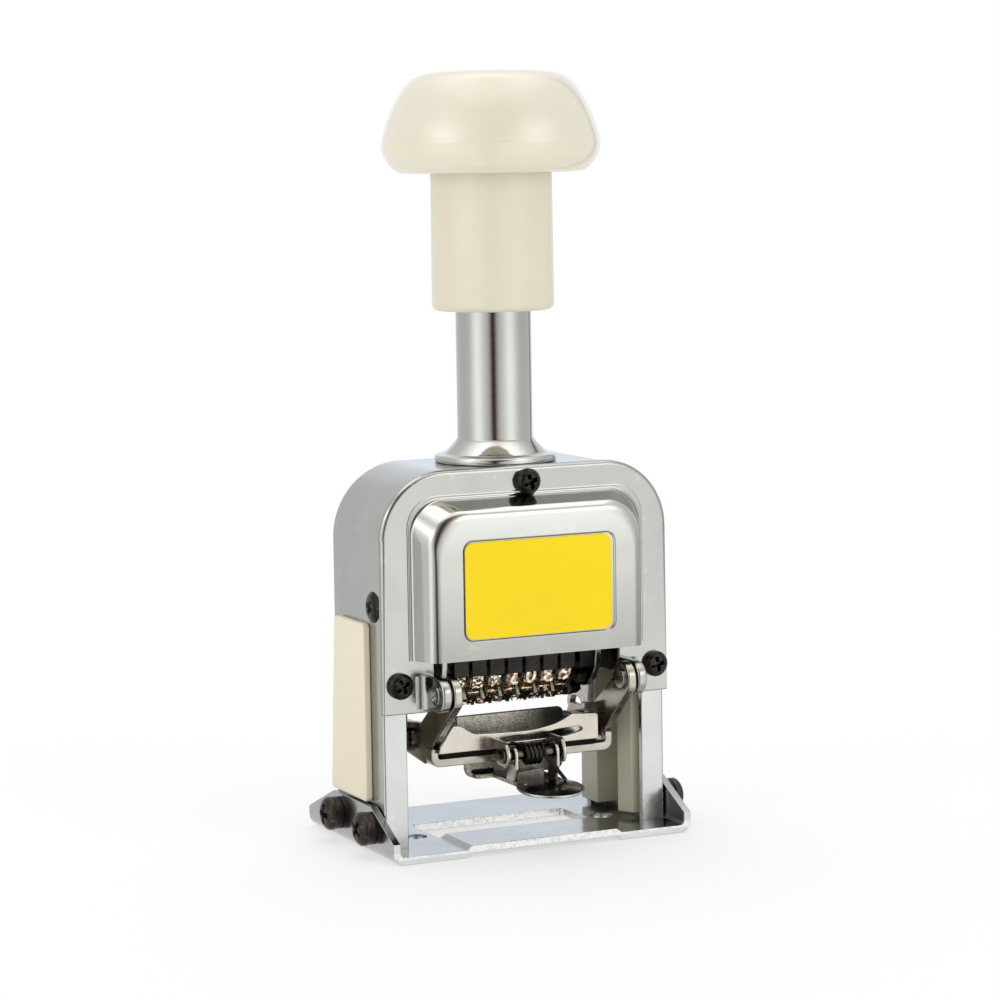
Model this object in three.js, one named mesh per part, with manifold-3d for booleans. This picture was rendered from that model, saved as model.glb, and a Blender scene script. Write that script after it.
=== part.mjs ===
// Automatic numbering machine: a hand stamp with seven number wheels and a swinging ink fork.
// Millimetres. X runs to the right, Y to the back and Z up; the table is at Z = 0.
import * as THREE from "three";
import { mergeVertices } from "three/addons/utils/BufferGeometryUtils.js";
import Module from "manifold-3d";

const wasm = await Module();
wasm.setup();

// Whole machine
const overallHeight = 140;
const baseDepth = 40;
const housingWidth = 56.4;
const housingDepth = 22.8;
const housingTop = 68.9;
const stampAxisY = -1.2;
const stroke = 24;
const stampGap = 0.3;
const seatGap = 0.3;
const runGap = 0.4;
const overrun = 1;

// Base plate
const baseSheet = 1.4;
const flangeGap = 0.2;
const flangeTop = 8.9;
const flangeEndTop = 3.8;
const flangeTopDepth = 17.4;
const flangeMiddleY = -1.1;
const bendRadius = 2.2;
const windowWidth = 31.2;
const windowFrontY = -8.3;
const windowRearY = 4.8;
const windowCorner = 1;
const stripLift = 0.8;
const stripLiftWidth = 29;
const stripRiser = 1;
const deskHoleRadius = 2.1;
const deskHoleX = 18.9;
const deskHoleY = -4.9;

// Housing and its front cover
const housingWall = 1.5;
const lipWall = 1.2;
const lipWidth = 4.6;
const housingCorner = 13.5;
const housingFoot = 0.9;
const coverBottom = 25.7;
const coverSheet = 1.2;
const neckHoleRadius = 7.3;
const bossWidth = 45.6;
const bossTop = 64.1;
const bossBottom = 35.2;
const bossCorner = 6.2;
const bossDepth = 4.8;
const bossEdge = 1.6;
const bossWall = 1.2;
const coverGapWidth = 37;
const earWidth = 1.8;
const earRadius = 3.15;
const earPivotY = -18.4;
const earPivotZ = 29.5;
const labelWidth = 29;
const labelHeight = 17.3;
const labelMiddleZ = 47.7;
const labelSheet = 0.3;
const labelCorner = 1.6;

// Screws and rivets
const coverScrewRadius = 2.2;
const coverScrewHead = 1.6;
const coverScrewTopZ = 66.5;
const coverScrewSideX = 25.8;
const coverScrewSideZ = 31.3;
const sideScrewRadius = 2.8;
const sideScrewHead = 0.8;
const sideScrewY = -9.1;
const sideScrewZ = 44.8;
const baseScrewRadius = 2.9;
const baseScrewHead = 2;
const baseScrewSpacing = 15.4;
const baseScrewMiddleY = -2.2;
const baseScrewZ = 5.1;
const washerRadius = 2.75;
const washerThick = 1;
const shankRadius = 1.1;
const shankGap = 0.3;
const shankLength = 3.4;
const recessRadius = 1.2;
const recessDepth = 0.7;
const rivetRadius = 1.2;
const rivetHeadRadius = 1.75;
const rivetHead = 0.5;

// Side pads and inner guides
const padSheet = 1.4;
const padBottom = 9.3;
const padTop = 41.6;
const padFrontY = -7.4;
const padTopDepth = 13.6;
const padBottomDepth = 16.4;
const padCorner = 0.8;
const guideBottom = 2.4;
const guideTop = 54;
const guideFaceX = 21.3;
const guideBack = 0.7;
const guideFrontY = -10.1;
const guideFrontX = 22.8;
const grooveFrontY = -6.8;
const grooveDepth = 8;
const guideRearRib = 6.7;

// Neck tube, knob and sleeve
const tubeRadius = 6.9;
const tubeBoreRadius = 5.7;
const tubeInSleeve = 11.5;
const tubeFloor = 3.4;
const neckDiscRadius = 11.2;
const neckDisc = 1.5;
const bellFootRadius = 9.8;
const bellHeight = 2.9;
const stubRadius = 6.6;
const stubLength = 4;
const neckNutRadius = 9.2;
const neckNut = 2;
const sleeveRadius = 11.17;
const sleeveBoreRadius = 7.4;
const sleeveLength = 24.9;
const sleeveEdge = 1.4;
const knobHeight = 18.6;
const knobRadius = 20;
const knobBoreRadius = 7.6;
const knobBoreDepth = 12.4;

// Plunger and carriage
const rodRadius = 3;
const knobCap = 3;
const rodHoleGap = 0.3;
const rodHeadRadius = 4.6;
const rodHead = 2.6;
const spacerRadius = 4.4;
const bridgeBottom = 45;
const bridgeHeight = 3;
const bridgeFrontY = -6;
const bridgeRearY = 4;
const cheekOuterX = 16.1;
const cheekSheet = 1.2;
const cheekBottom = 26.2;
const cheekRadius = 10.3;
const cheekRearY = 8.2;
const cheekCorner = 1.5;
const shoeInnerX = 20;
const shoeOuterX = 25.7;
const shoeBottom = 29;
const shaftRadius = 2.2;
const linkTopZ = 41.62;
const studRadius = 1.5;
const cheekFrontY = -11.5;
const combRearGap = 0.5;
const combSheet = 0.8;
const combBottom = 31.4;
const combRootZ = 39;
const combTop = 44.4;
const combFingerWidth = 2.7;

// Number wheels, repeat dial and pawl rocker
const wheelCount = 7;
const facetCount = 10;
const wheelPitch = 3.57;
const wheelWidth = 3.2;
const wheelsMiddleX = -1;
const typeRadius = 8;
const typeFloorRadius = 6.5;
const typeWidth = 2.4;
const typeHeight = 3.5;
const ratchetWidth = 0.7;
const ratchetRadius = 7.9;
const ratchetFootRadius = 6.6;
const dialWidth = 1.9;
const dialRadius = 8;
const dialNotch = 1.4;
const dialNotchCount = 12;
const rockerSheet = 0.8;
const rockerHubRadius = 4.2;
const rockerBarInner = 8.5;
const rockerBar = 0.9;
const rockerRestAngle = 16;
const rockerSpanAngle = 22;

// Ink fork, tray, thumb clip and drag links
const forkSheet = 1.6;
const forkGap = 0.4;
const forkSwing = 70;
const forkStudY = 1.6;
const forkStudZ = 19;
const forkStudBoss = 2.9;
const forkBarFrontY = -11.2;
const forkBarDepth = 2.8;
const forkBarBottom = 15;
const forkHeelY = -8.6;
const forkBackY = -6;
const forkBackZ = 22.6;
const forkBackRadius = 2;
const forkKneeFrontY = -10.2;
const forkKneeFrontZ = 18.2;
const tabReach = 3.2;
const tabHeight = 1.2;
const tabTop = 23.2;
const tabRearY = -6.9;
const tabSheet = 1;
const studHeadRadius = 2.8;
const studHead = 0.6;
const linkSheet = 1.2;
const linkInnerX = 18.4;
const linkEyeRadius = 3;
const linkWaistWidth = 4;
const linkWall = 1.3;
const linkSlotSteps = 4;
const wingHalf = 17.4;
const wingBottom = 16.6;
const wingRise = 6.3;
const wingFootHalf = 7;
const wingFoot = 0.8;
const wingSheet = 1;
const wingStandoff = 0.2;
const wingSlotX = 9.8;
const wingSlotZ = 19.4;
const wingSlotHalf = 1.6;
const wingSlotRise = 0.55;
const lugX = 5.9;
const lugSheet = 1.1;
const lugRadius = 2.1;
const clipPinRadius = 0.9;
const clipPinHeadRadius = 1.5;
const clipPivotY = -16.6;
const clipPivotZ = 17;
const clipLugX = 4.2;
const clipSheet = 0.9;
const clipLugRadius = 1.8;
const jawWidth = 19.8;
const jawBottom = 11.6;
const jawTop = 23.2;
const jawRearY = -6.4;
const jawSheet = 1;
const jawCorner = 1.6;
const jawShoulder = 1.7;
const jawShoulderZ = 18.4;
const thumbRadius = 6.2;
const thumbY = -22.4;
const thumbZ = 11.6;
const thumbDish = 0.9;
const thumbSheet = 0.9;
const thumbTiltAngle = 10;
const trayFrontY = -5.8;
const trayRearY = 3;
const trayBottom = 16.6;
const trayWall = 0.8;
const trayRim = 20.4;
const feltTop = 21.2;
const clipWireRadius = 0.28;
const clipCoilRadius = 1.55;
const clipCoilPitch = 1;
const clipCoilCount = 4.25;
const clipCoilRight = 1.7;
const clipLegX = 3;
const clipLegY = -21;
const clipLegZ = 13.4;

// Return spring and lock button
const springWireRadius = 0.5;
const springRadius = 4.45;
const springCoilCount = 13;
const springLeastGap = 0.4;
const lockZ = 57;
const lockStemRadius = 1.9;
const lockHeadRadius = 3.3;
const lockHead = 2.4;
const lockTravel = 2;
const lockReach = 2.6;
const lockCollar = 0.8;
const lockCollarRadius = 2.9;

// Counts of straight steps
const cornerSteps = 4;
const archSteps = 7;
const smallSides = 12;
const roundSides = 24;
const knobSides = 36;
const strapSteps = 8;
const coilSteps = 8;
const wireSides = 5;

// Places worked out from the sizes above
const housingHalf = housingWidth / 2;
const knobBottom = overallHeight - knobHeight;
const rodTop = overallHeight - knobCap;
const sleeveBottom = knobBottom - sleeveLength;
const tubeTop = sleeveBottom + tubeInSleeve;
const housingFrontY = stampAxisY - housingDepth / 2;
const housingRearY = stampAxisY + housingDepth / 2;
const coverFrontY = housingFrontY - coverSheet;
const bossFrontY = coverFrontY - bossDepth;
const flangeInnerX = housingHalf + flangeGap;
const baseHalfWidth = flangeInnerX + baseSheet;
const wheelCentreZ = stroke + stampGap + typeRadius;
const earInnerX = coverGapWidth / 2;
const armOuterX = earInnerX - forkGap;
const armInnerX = armOuterX - forkSheet;
const cheekInnerX = cheekOuterX - cheekSheet;
const tubeFloorTop = housingTop + tubeFloor;
const combRearY = stampAxisY - typeRadius - combRearGap;
const frontReach = thumbRadius * Math.cos(THREE.MathUtils.degToRad(thumbTiltAngle)) - thumbY;
const originShift = (frontReach - baseDepth / 2) / 2;

// Colours and finishes of the photographed object
const finishes = {
  chrome: { color: 0xc9ccc9, roughness: 0.18, metalness: 1 },
  nickel: { color: 0xb5b1a8, roughness: 0.35, metalness: 1 },
  darkNickel: { color: 0x5d5a55, roughness: 0.4, metalness: 1 },
  blackSteel: { color: 0x26241f, roughness: 0.45, metalness: 0.7 },
  brass: { color: 0xb48a55, roughness: 0.35, metalness: 1 },
  cream: { color: 0xe6dfc8, roughness: 0.3, metalness: 0 },
  yellow: { color: 0xffdc2e, roughness: 0.5, metalness: 0 },
  felt: { color: 0x2b2a2c, roughness: 0.95, metalness: 0 },
};
const materials = Object.fromEntries(
  Object.entries(finishes).map(([name, finish]) => [name, new THREE.MeshStandardMaterial(finish)]),
);

// A closed geometry as a solid, turned inside out where its faces point inwards
function solid(geometry) {
  const bare = new THREE.BufferGeometry();
  const flat = geometry.index ? geometry.toNonIndexed() : geometry;
  bare.setAttribute("position", flat.getAttribute("position"));
  const merged = mergeVertices(bare, 1e-4);
  const kept = [];
  const index = merged.index.array;
  for (let i = 0; i < index.length; i += 3) {
    const [a, b, c] = [index[i], index[i + 1], index[i + 2]];
    if (a !== b && b !== c && c !== a) kept.push(a, b, c);
  }
  const vertProperties = merged.getAttribute("position").array;
  const build = (corners) =>
    new wasm.Manifold(new wasm.Mesh({ numProp: 3, vertProperties, triVerts: new Uint32Array(corners) }));
  const made = build(kept);
  if (made.volume() > 0) return made;
  const turned = [];
  for (let i = 0; i < kept.length; i += 3) turned.push(kept[i], kept[i + 2], kept[i + 1]);
  return build(turned);
}

// A solid's faces as a mesh with its name and material
function piece(name, finish, made) {
  const faces = made.getMesh();
  const stride = faces.numProp;
  const positions = new Float32Array(faces.numVert * 3);
  for (let i = 0; i < faces.numVert; i += 1) {
    positions.set(faces.vertProperties.subarray(i * stride, i * stride + 3), i * 3);
  }
  const indexed = new THREE.BufferGeometry();
  indexed.setAttribute("position", new THREE.BufferAttribute(positions, 3));
  indexed.setIndex(new THREE.BufferAttribute(new Uint32Array(faces.triVerts), 1));
  const geometry = indexed.toNonIndexed();
  geometry.computeVertexNormals();
  const mesh = new THREE.Mesh(geometry, materials[finish]);
  mesh.name = name;
  return mesh;
}

// Corners are [x, y, radius]; a corner with a radius becomes an arc in straight steps
function outline(corners, steps = cornerSteps) {
  const count = corners.length;
  const points = [];
  corners.forEach(([x, y, radius = 0], i) => {
    const here = new THREE.Vector2(x, y);
    if (radius === 0) {
      points.push(here);
      return;
    }
    const [bx, by] = corners[(i + count - 1) % count];
    const [ax, ay] = corners[(i + 1) % count];
    const back = new THREE.Vector2(bx, by).sub(here).normalize();
    const ahead = new THREE.Vector2(ax, ay).sub(here).normalize();
    const half = Math.acos(back.dot(ahead)) / 2;
    const middle = back.clone().add(ahead).normalize();
    const centre = here.clone().addScaledVector(middle, radius / Math.sin(half));
    const start = here.clone().addScaledVector(back, radius / Math.tan(half));
    const end = here.clone().addScaledVector(ahead, radius / Math.tan(half));
    const from = Math.atan2(start.y - centre.y, start.x - centre.x);
    let sweep = Math.atan2(end.y - centre.y, end.x - centre.x) - from;
    if (sweep > Math.PI) sweep -= 2 * Math.PI;
    if (sweep < -Math.PI) sweep += 2 * Math.PI;
    for (let step = 0; step <= steps; step += 1) {
      const angle = from + (sweep * step) / steps;
      points.push(new THREE.Vector2(
        centre.x + radius * Math.cos(angle),
        centre.y + radius * Math.sin(angle),
      ));
    }
  });
  return points;
}

// Points of a circle
function ring(x, y, radius, sides = smallSides) {
  return Array.from({ length: sides }, (_, i) => {
    const angle = (2 * Math.PI * i) / sides;
    return new THREE.Vector2(x + radius * Math.cos(angle), y + radius * Math.sin(angle));
  });
}

// Two round ends joined by their straight sides, as a strap's outline
function strap(ax, ay, aRadius, bx, by, bRadius, steps = strapSteps) {
  const length = Math.hypot(bx - ax, by - ay);
  const along = Math.atan2(by - ay, bx - ax);
  const lean = Math.acos((aRadius - bRadius) / length);
  const arc = (x, y, radius, from, to) =>
    Array.from({ length: steps / 2 + 1 }, (_, i) => {
      const angle = from + ((to - from) * i) / (steps / 2);
      return new THREE.Vector2(x + radius * Math.cos(angle), y + radius * Math.sin(angle));
    });
  return [
    ...arc(bx, by, bRadius, along - lean, along + lean),
    ...arc(ax, ay, aRadius, along + lean, along + 2 * Math.PI - lean),
  ];
}

function extruded(points, depth, holes) {
  const shape = new THREE.Shape(points);
  shape.holes = holes.map((hole) => new THREE.Path(hole));
  return new THREE.ExtrudeGeometry(shape, { depth, bevelEnabled: false, curveSegments: 1 });
}

// A plate whose outline lies in X and Y, between two heights
function level(points, bottom, top, holes = []) {
  const geometry = extruded(points, top - bottom, holes);
  return solid(geometry.translate(0, 0, bottom));
}

// A plate whose outline lies in X and Z, between a front and a rear place
function front(points, frontY, rearY, holes = []) {
  const geometry = extruded(points, rearY - frontY, holes);
  geometry.applyMatrix4(new THREE.Matrix4().makeBasis(
    new THREE.Vector3(1, 0, 0),
    new THREE.Vector3(0, 0, 1),
    new THREE.Vector3(0, -1, 0),
  ));
  return solid(geometry.translate(0, rearY, 0));
}

// A plate whose outline lies in Y and Z, between two places on X in either order
function side(points, x0, x1, holes = []) {
  const geometry = extruded(points, Math.abs(x1 - x0), holes);
  geometry.applyMatrix4(new THREE.Matrix4().makeBasis(
    new THREE.Vector3(0, 1, 0),
    new THREE.Vector3(0, 0, 1),
    new THREE.Vector3(1, 0, 0),
  ));
  return solid(geometry.translate(Math.min(x0, x1), 0, 0));
}

// A profile of [radius, height] turned about the Z axis
function turned(profile, sides = roundSides) {
  const points = profile.map(([radius, height]) => new THREE.Vector2(radius, height));
  const geometry = new THREE.LatheGeometry(points, sides);
  return solid(geometry.rotateX(Math.PI / 2));
}

function box(x0, x1, y0, y1, z0, z1) {
  const geometry = new THREE.BoxGeometry(Math.abs(x1 - x0), Math.abs(y1 - y0), Math.abs(z1 - z0));
  return solid(geometry.translate((x0 + x1) / 2, (y0 + y1) / 2, (z0 + z1) / 2));
}

// One unbroken wire along a list of points, with flat ends
function wire(path, radius) {
  const count = path.length;
  const positions = [];
  const faces = [];
  let normal = new THREE.Vector3(1, 0, 0);
  path.forEach((point, i) => {
    const before = path[Math.max(i - 1, 0)];
    const after = path[Math.min(i + 1, count - 1)];
    const along = after.clone().sub(before).normalize();
    normal = normal.clone().addScaledVector(along, -normal.dot(along)).normalize();
    const across = new THREE.Vector3().crossVectors(along, normal);
    for (let k = 0; k < wireSides; k += 1) {
      const angle = (2 * Math.PI * k) / wireSides;
      const spoke = normal.clone().multiplyScalar(Math.cos(angle) * radius);
      spoke.addScaledVector(across, Math.sin(angle) * radius);
      positions.push(...point.clone().add(spoke).toArray());
    }
  });
  for (let i = 0; i < count - 1; i += 1) {
    for (let k = 0; k < wireSides; k += 1) {
      const [a, b] = [i * wireSides + k, i * wireSides + ((k + 1) % wireSides)];
      faces.push(a, b, a + wireSides, b, b + wireSides, a + wireSides);
    }
  }
  const last = (count - 1) * wireSides;
  for (let k = 1; k < wireSides - 1; k += 1) {
    faces.push(0, k + 1, k);
    faces.push(last, last + k, last + k + 1);
  }
  const geometry = new THREE.BufferGeometry();
  geometry.setAttribute("position", new THREE.Float32BufferAttribute(positions, 3));
  geometry.setIndex(faces);
  return solid(geometry);
}

// The least gap between two curls of a wire, measured on its points
function leastGap(path, radius, stepsApart) {
  let least = Infinity;
  path.forEach((a, i) => {
    path.slice(i + stepsApart).forEach((b) => {
      least = Math.min(least, a.distanceTo(b));
    });
  });
  return least - 2 * radius;
}

// The arch of the housing, drawn smaller by an inset, closed at a bottom height
function arch(inset, bottom, footRadius = 0) {
  const half = housingHalf - inset;
  const top = housingTop - inset;
  const corner = housingCorner - inset;
  return outline(
    [
      [-half, bottom, footRadius],
      [half, bottom, footRadius],
      [half, top, corner],
      [-half, top, corner],
    ],
    archSteps,
  );
}

// Round bores through the walls, along the axis that is named
function boreX(radius, x0, x1, y, z) {
  return side(ring(y, z, radius), x0, x1);
}

function boreY(radius, y0, y1, x, z) {
  return front(ring(x, z, radius), y0, y1);
}

const baseScrewPlaces = [-1, 1].flatMap((hand) =>
  [-1, 1].map((end) => ({ hand, end, y: baseScrewMiddleY + (end * baseScrewSpacing) / 2 })),
);
const coverScrewPlaces = [
  { name: "top", x: 0, z: coverScrewTopZ },
  { name: "left", x: -coverScrewSideX, z: coverScrewSideZ },
  { name: "right", x: coverScrewSideX, z: coverScrewSideZ },
];

// Base plate: chrome sheet bent up into two side flanges, with a window for the type
function basePlate() {
  const rearSection = outline([
    [-baseHalfWidth, 0, bendRadius],
    [baseHalfWidth, 0, bendRadius],
    [baseHalfWidth, flangeTop],
    [flangeInnerX, flangeTop],
    [flangeInnerX, baseSheet, bendRadius - baseSheet],
    [-flangeInnerX, baseSheet, bendRadius - baseSheet],
    [-flangeInnerX, flangeTop],
    [-baseHalfWidth, flangeTop],
  ]);
  const liftHalf = stripLiftWidth / 2;
  const frontSection = outline([
    [-baseHalfWidth, 0, bendRadius],
    [-liftHalf - stripRiser, 0],
    [-liftHalf, stripLift],
    [liftHalf, stripLift],
    [liftHalf + stripRiser, 0],
    [baseHalfWidth, 0, bendRadius],
    [baseHalfWidth, flangeTop],
    [flangeInnerX, flangeTop],
    [flangeInnerX, baseSheet, bendRadius - baseSheet],
    [liftHalf + stripRiser, baseSheet],
    [liftHalf, baseSheet + stripLift],
    [-liftHalf, baseSheet + stripLift],
    [-liftHalf - stripRiser, baseSheet],
    [-flangeInnerX, baseSheet, bendRadius - baseSheet],
    [-flangeInnerX, flangeTop],
    [-baseHalfWidth, flangeTop],
  ]);
  const halfDepth = baseDepth / 2;
  const flangeSide = outline([
    [-halfDepth, 0],
    [halfDepth, 0],
    [halfDepth, flangeEndTop],
    [flangeMiddleY + flangeTopDepth / 2, flangeTop],
    [flangeMiddleY - flangeTopDepth / 2, flangeTop],
    [-halfDepth, flangeEndTop],
  ]);
  const windowHalf = windowWidth / 2;
  const opening = outline([
    [-windowHalf, windowFrontY, windowCorner],
    [windowHalf, windowFrontY, windowCorner],
    [windowHalf, windowRearY, windowCorner],
    [-windowHalf, windowRearY, windowCorner],
  ]);
  const seam = (windowFrontY + windowRearY) / 2;
  let plate = front(frontSection, -halfDepth, seam);
  plate = plate.add(front(rearSection, seam - overrun, halfDepth));
  plate = plate.intersect(side(flangeSide, -baseHalfWidth - overrun, baseHalfWidth + overrun));
  plate = plate.subtract(level(opening, -overrun, baseSheet + stripLift + overrun));
  [-1, 1].forEach((hand) => {
    const hole = ring(hand * deskHoleX, deskHoleY, deskHoleRadius);
    plate = plate.subtract(level(hole, -overrun, baseSheet + overrun));
  });
  baseScrewPlaces.forEach(({ hand, y }) => {
    const bore = boreX(
      shankRadius + shankGap,
      hand * (flangeInnerX - overrun),
      hand * (baseHalfWidth + overrun),
      y,
      baseScrewZ,
    );
    plate = plate.subtract(bore);
  });
  return piece("base_plate", "chrome", plate);
}

// Housing: an arch with turned-in lips on both faces, closed at the back above the legs
function housing() {
  const lipInset = lipWidth;
  const rearInset = housingRearY - housingWall;
  let shell = front(arch(0, baseSheet, housingFoot), housingFrontY, housingRearY);
  shell = shell.subtract(
    front(arch(housingWall, baseSheet - overrun), housingFrontY + lipWall, rearInset),
  );
  shell = shell.subtract(
    front(arch(lipInset, baseSheet - overrun), housingFrontY - overrun, housingFrontY + lipWall + overrun),
  );
  const legGap = housingHalf - lipInset;
  shell = shell.subtract(
    box(-legGap, legGap, rearInset - overrun, housingRearY + overrun, baseSheet - overrun, coverBottom),
  );
  const neckHole = ring(0, stampAxisY, neckHoleRadius, roundSides);
  shell = shell.subtract(level(neckHole, housingTop - housingWall - overrun, housingTop + overrun));
  const lockHole = boreY(
    lockStemRadius + runGap,
    rearInset - overrun,
    housingRearY + overrun,
    0,
    lockZ,
  );
  shell = shell.subtract(lockHole);
  coverScrewPlaces.forEach(({ x, z }) => {
    const bore = boreY(
      shankRadius + shankGap,
      housingFrontY - overrun,
      housingFrontY + lipWall + overrun,
      x,
      z,
    );
    shell = shell.subtract(bore);
  });
  const wallX = housingHalf - housingWall - overrun;
  const outX = housingHalf + overrun;
  [-1, 1].forEach((hand) => {
    const bore = boreX(shankRadius + shankGap, hand * wallX, hand * outX, sideScrewY, sideScrewZ);
    shell = shell.subtract(bore);
  });
  baseScrewPlaces.forEach(({ hand, y }) => {
    const bore = boreX(shankRadius + shankGap, hand * wallX, hand * outX, y, baseScrewZ);
    shell = shell.subtract(bore);
  });
  return piece("housing", "chrome", shell);
}

// The raised boss of the cover, drawn in by an inset for its hollow
function bossForm(inset) {
  const half = bossWidth / 2 - inset - bossEdge;
  const top = bossTop - inset - bossEdge;
  const corners = outline([
    [-half, bossBottom - bossDepth],
    [half, bossBottom - bossDepth],
    [half, top, bossCorner - bossEdge - inset],
    [-half, top, bossCorner - bossEdge - inset],
  ]);
  const shape = new THREE.Shape(corners);
  const geometry = new THREE.ExtrudeGeometry(shape, {
    depth: bossDepth + coverSheet - inset - bossEdge,
    bevelThickness: bossEdge,
    bevelSize: bossEdge,
    bevelSegments: cornerSteps,
    curveSegments: 1,
  });
  geometry.rotateX(Math.PI / 2);
  geometry.translate(0, housingFrontY, 0);
  return solid(geometry);
}

// Front cover: a stamped plate with the boss over the wheels and two ears for the ink fork
function frontCover() {
  const plateOutline = outline(
    [
      [-housingHalf, coverBottom],
      [housingHalf, coverBottom],
      [housingHalf, housingTop, housingCorner],
      [-housingHalf, housingTop, housingCorner],
    ],
    archSteps,
  );
  const screwHoles = coverScrewPlaces.map(({ x, z }) => ring(x, z, shankRadius + shankGap));
  const behind = housingFrontY + bossDepth + bossEdge + overrun;
  const below = (width, y0, y1) =>
    box(-width, width, y0, y1, coverBottom - bossDepth * 2, bossBottom);
  let boss = bossForm(0);
  boss = boss.subtract(below(bossWidth, bossFrontY - overrun, behind));
  boss = boss.subtract(box(-bossWidth, bossWidth, housingFrontY, behind, coverBottom, bossTop + overrun));
  const hollow = bossForm(bossWall);
  let cover = front(plateOutline, coverFrontY, housingFrontY, screwHoles);
  cover = cover.subtract(below(earInnerX, coverFrontY - overrun, housingFrontY + overrun));
  cover = cover.add(boss).subtract(
    hollow.intersect(
      box(-bossWidth, bossWidth, bossFrontY - overrun, behind, bossBottom, bossTop + overrun),
    ),
  );
  const ear = outline(
    [
      [coverFrontY + coverSheet, earPivotZ - earRadius],
      [coverFrontY + coverSheet, earPivotZ + earRadius],
      [earPivotY - earRadius, earPivotZ + earRadius, earRadius],
      [earPivotY - earRadius, earPivotZ - earRadius, earRadius],
    ],
  );
  [-1, 1].forEach((hand) => {
    const hole = ring(earPivotY, earPivotZ, rivetRadius + shankGap);
    cover = cover.add(side(ear, hand * earInnerX, hand * (earInnerX + earWidth), [hole]));
  });
  return piece("front_cover", "chrome", cover);
}

function labelPlate() {
  const half = labelWidth / 2;
  const bottom = labelMiddleZ - labelHeight / 2;
  const top = labelMiddleZ + labelHeight / 2;
  const corners = outline([
    [-half, bottom, labelCorner],
    [half, bottom, labelCorner],
    [half, top, labelCorner],
    [-half, top, labelCorner],
  ]);
  return piece("label_plate", "yellow", front(corners, bossFrontY - labelSheet, bossFrontY));
}

// A pan-head screw that points along +Z from its seat at zero, with a driver recess in its head
function screw(headRadius, head, length) {
  const made = turned(
    [
      [0, -length],
      [shankRadius, -length],
      [shankRadius, 0],
      [headRadius, 0],
      [headRadius, head / 2],
      [headRadius * Math.SQRT1_2, head],
      [0, head],
    ],
    smallSides,
  );
  const recess = turned(
    [
      [0, head - recessDepth],
      [recessRadius / 2, head - recessDepth],
      [recessRadius, head + overrun],
      [0, head + overrun],
    ],
    cornerSteps,
  );
  return made.subtract(recess);
}

function coverScrews() {
  return coverScrewPlaces.map(({ name, x, z }) => {
    const made = screw(coverScrewRadius, coverScrewHead, coverSheet + lipWall);
    const mesh = piece(`cover_screw_${name}`, "blackSteel", made);
    mesh.rotation.x = Math.PI / 2;
    mesh.position.set(x, coverFrontY, z);
    return mesh;
  });
}

function sideways(mesh, hand, x, y, z) {
  mesh.rotation.y = (hand * Math.PI) / 2;
  mesh.position.set(x, y, z);
  return mesh;
}

const handName = (hand) => (hand < 0 ? "left" : "right");
const endName = (end) => (end < 0 ? "front" : "rear");

function sideScrews() {
  return [-1, 1].map((hand) => {
    const made = screw(sideScrewRadius, sideScrewHead, shankLength);
    const mesh = piece(`side_screw_${handName(hand)}`, "blackSteel", made);
    return sideways(mesh, hand, hand * housingHalf, sideScrewY, sideScrewZ);
  });
}

function baseScrews() {
  return baseScrewPlaces.flatMap(({ hand, end, y }) => {
    const place = `${endName(end)}_${handName(hand)}`;
    const made = screw(baseScrewRadius, baseScrewHead, shankLength + washerThick);
    const mesh = piece(`base_screw_${place}`, "blackSteel", made);
    const washer = piece(
      `base_washer_${place}`,
      "blackSteel",
      level(ring(0, 0, washerRadius), 0, washerThick, [ring(0, 0, shankRadius + shankGap)]),
    );
    return [
      sideways(mesh, hand, hand * (baseHalfWidth + washerThick), y, baseScrewZ),
      sideways(washer, hand, hand * baseHalfWidth, y, baseScrewZ),
    ];
  });
}

// Cream plastic pads on the outside of the legs, wider at the foot
function sidePads() {
  const section = outline([
    [padFrontY, padBottom, padCorner],
    [padFrontY + padBottomDepth, padBottom, padCorner],
    [padFrontY + padTopDepth, padTop, padCorner],
    [padFrontY, padTop, padCorner],
  ]);
  return [-1, 1].map((hand) => {
    const made = side(section, hand * housingHalf, hand * (housingHalf + padSheet));
    return piece(`side_pad_${handName(hand)}`, "cream", made);
  });
}

// Cream plastic guides inside the legs: two ribs with the groove that the carriage slides in
function guides() {
  const outerX = housingHalf - housingWall;
  const grooveRearY = grooveFrontY + grooveDepth;
  const floorX = outerX - guideBack;
  return [-1, 1].map((hand) => {
    const section = outline([
      [hand * outerX, guideFrontY],
      [hand * guideFrontX, guideFrontY],
      [hand * guideFaceX, grooveFrontY],
      [hand * floorX, grooveFrontY],
      [hand * floorX, grooveRearY],
      [hand * guideFaceX, grooveRearY],
      [hand * guideFaceX, grooveRearY + guideRearRib],
      [hand * outerX, grooveRearY + guideRearRib],
    ]);
    const bores = [
      { y: sideScrewY, z: sideScrewZ },
      ...baseScrewPlaces.filter((place) => place.hand === hand).map(({ y }) => ({ y, z: baseScrewZ })),
    ];
    let made = level(section, guideBottom, guideTop);
    bores.forEach(({ y, z }) => {
      const reachX = housingHalf - shankLength - seatGap;
      const bore = boreX(shankRadius + shankGap, hand * reachX, hand * housingHalf, y, z);
      made = made.subtract(bore);
    });
    return piece(`guide_${handName(hand)}`, "cream", made);
  });
}

// Flare of the bell, as shares of its width and height from the disc up
const bellShares = [
  [1, 0],
  [0.56, 0.25],
  [0.25, 0.5],
  [0.06, 0.75],
  [0, 1],
];

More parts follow.
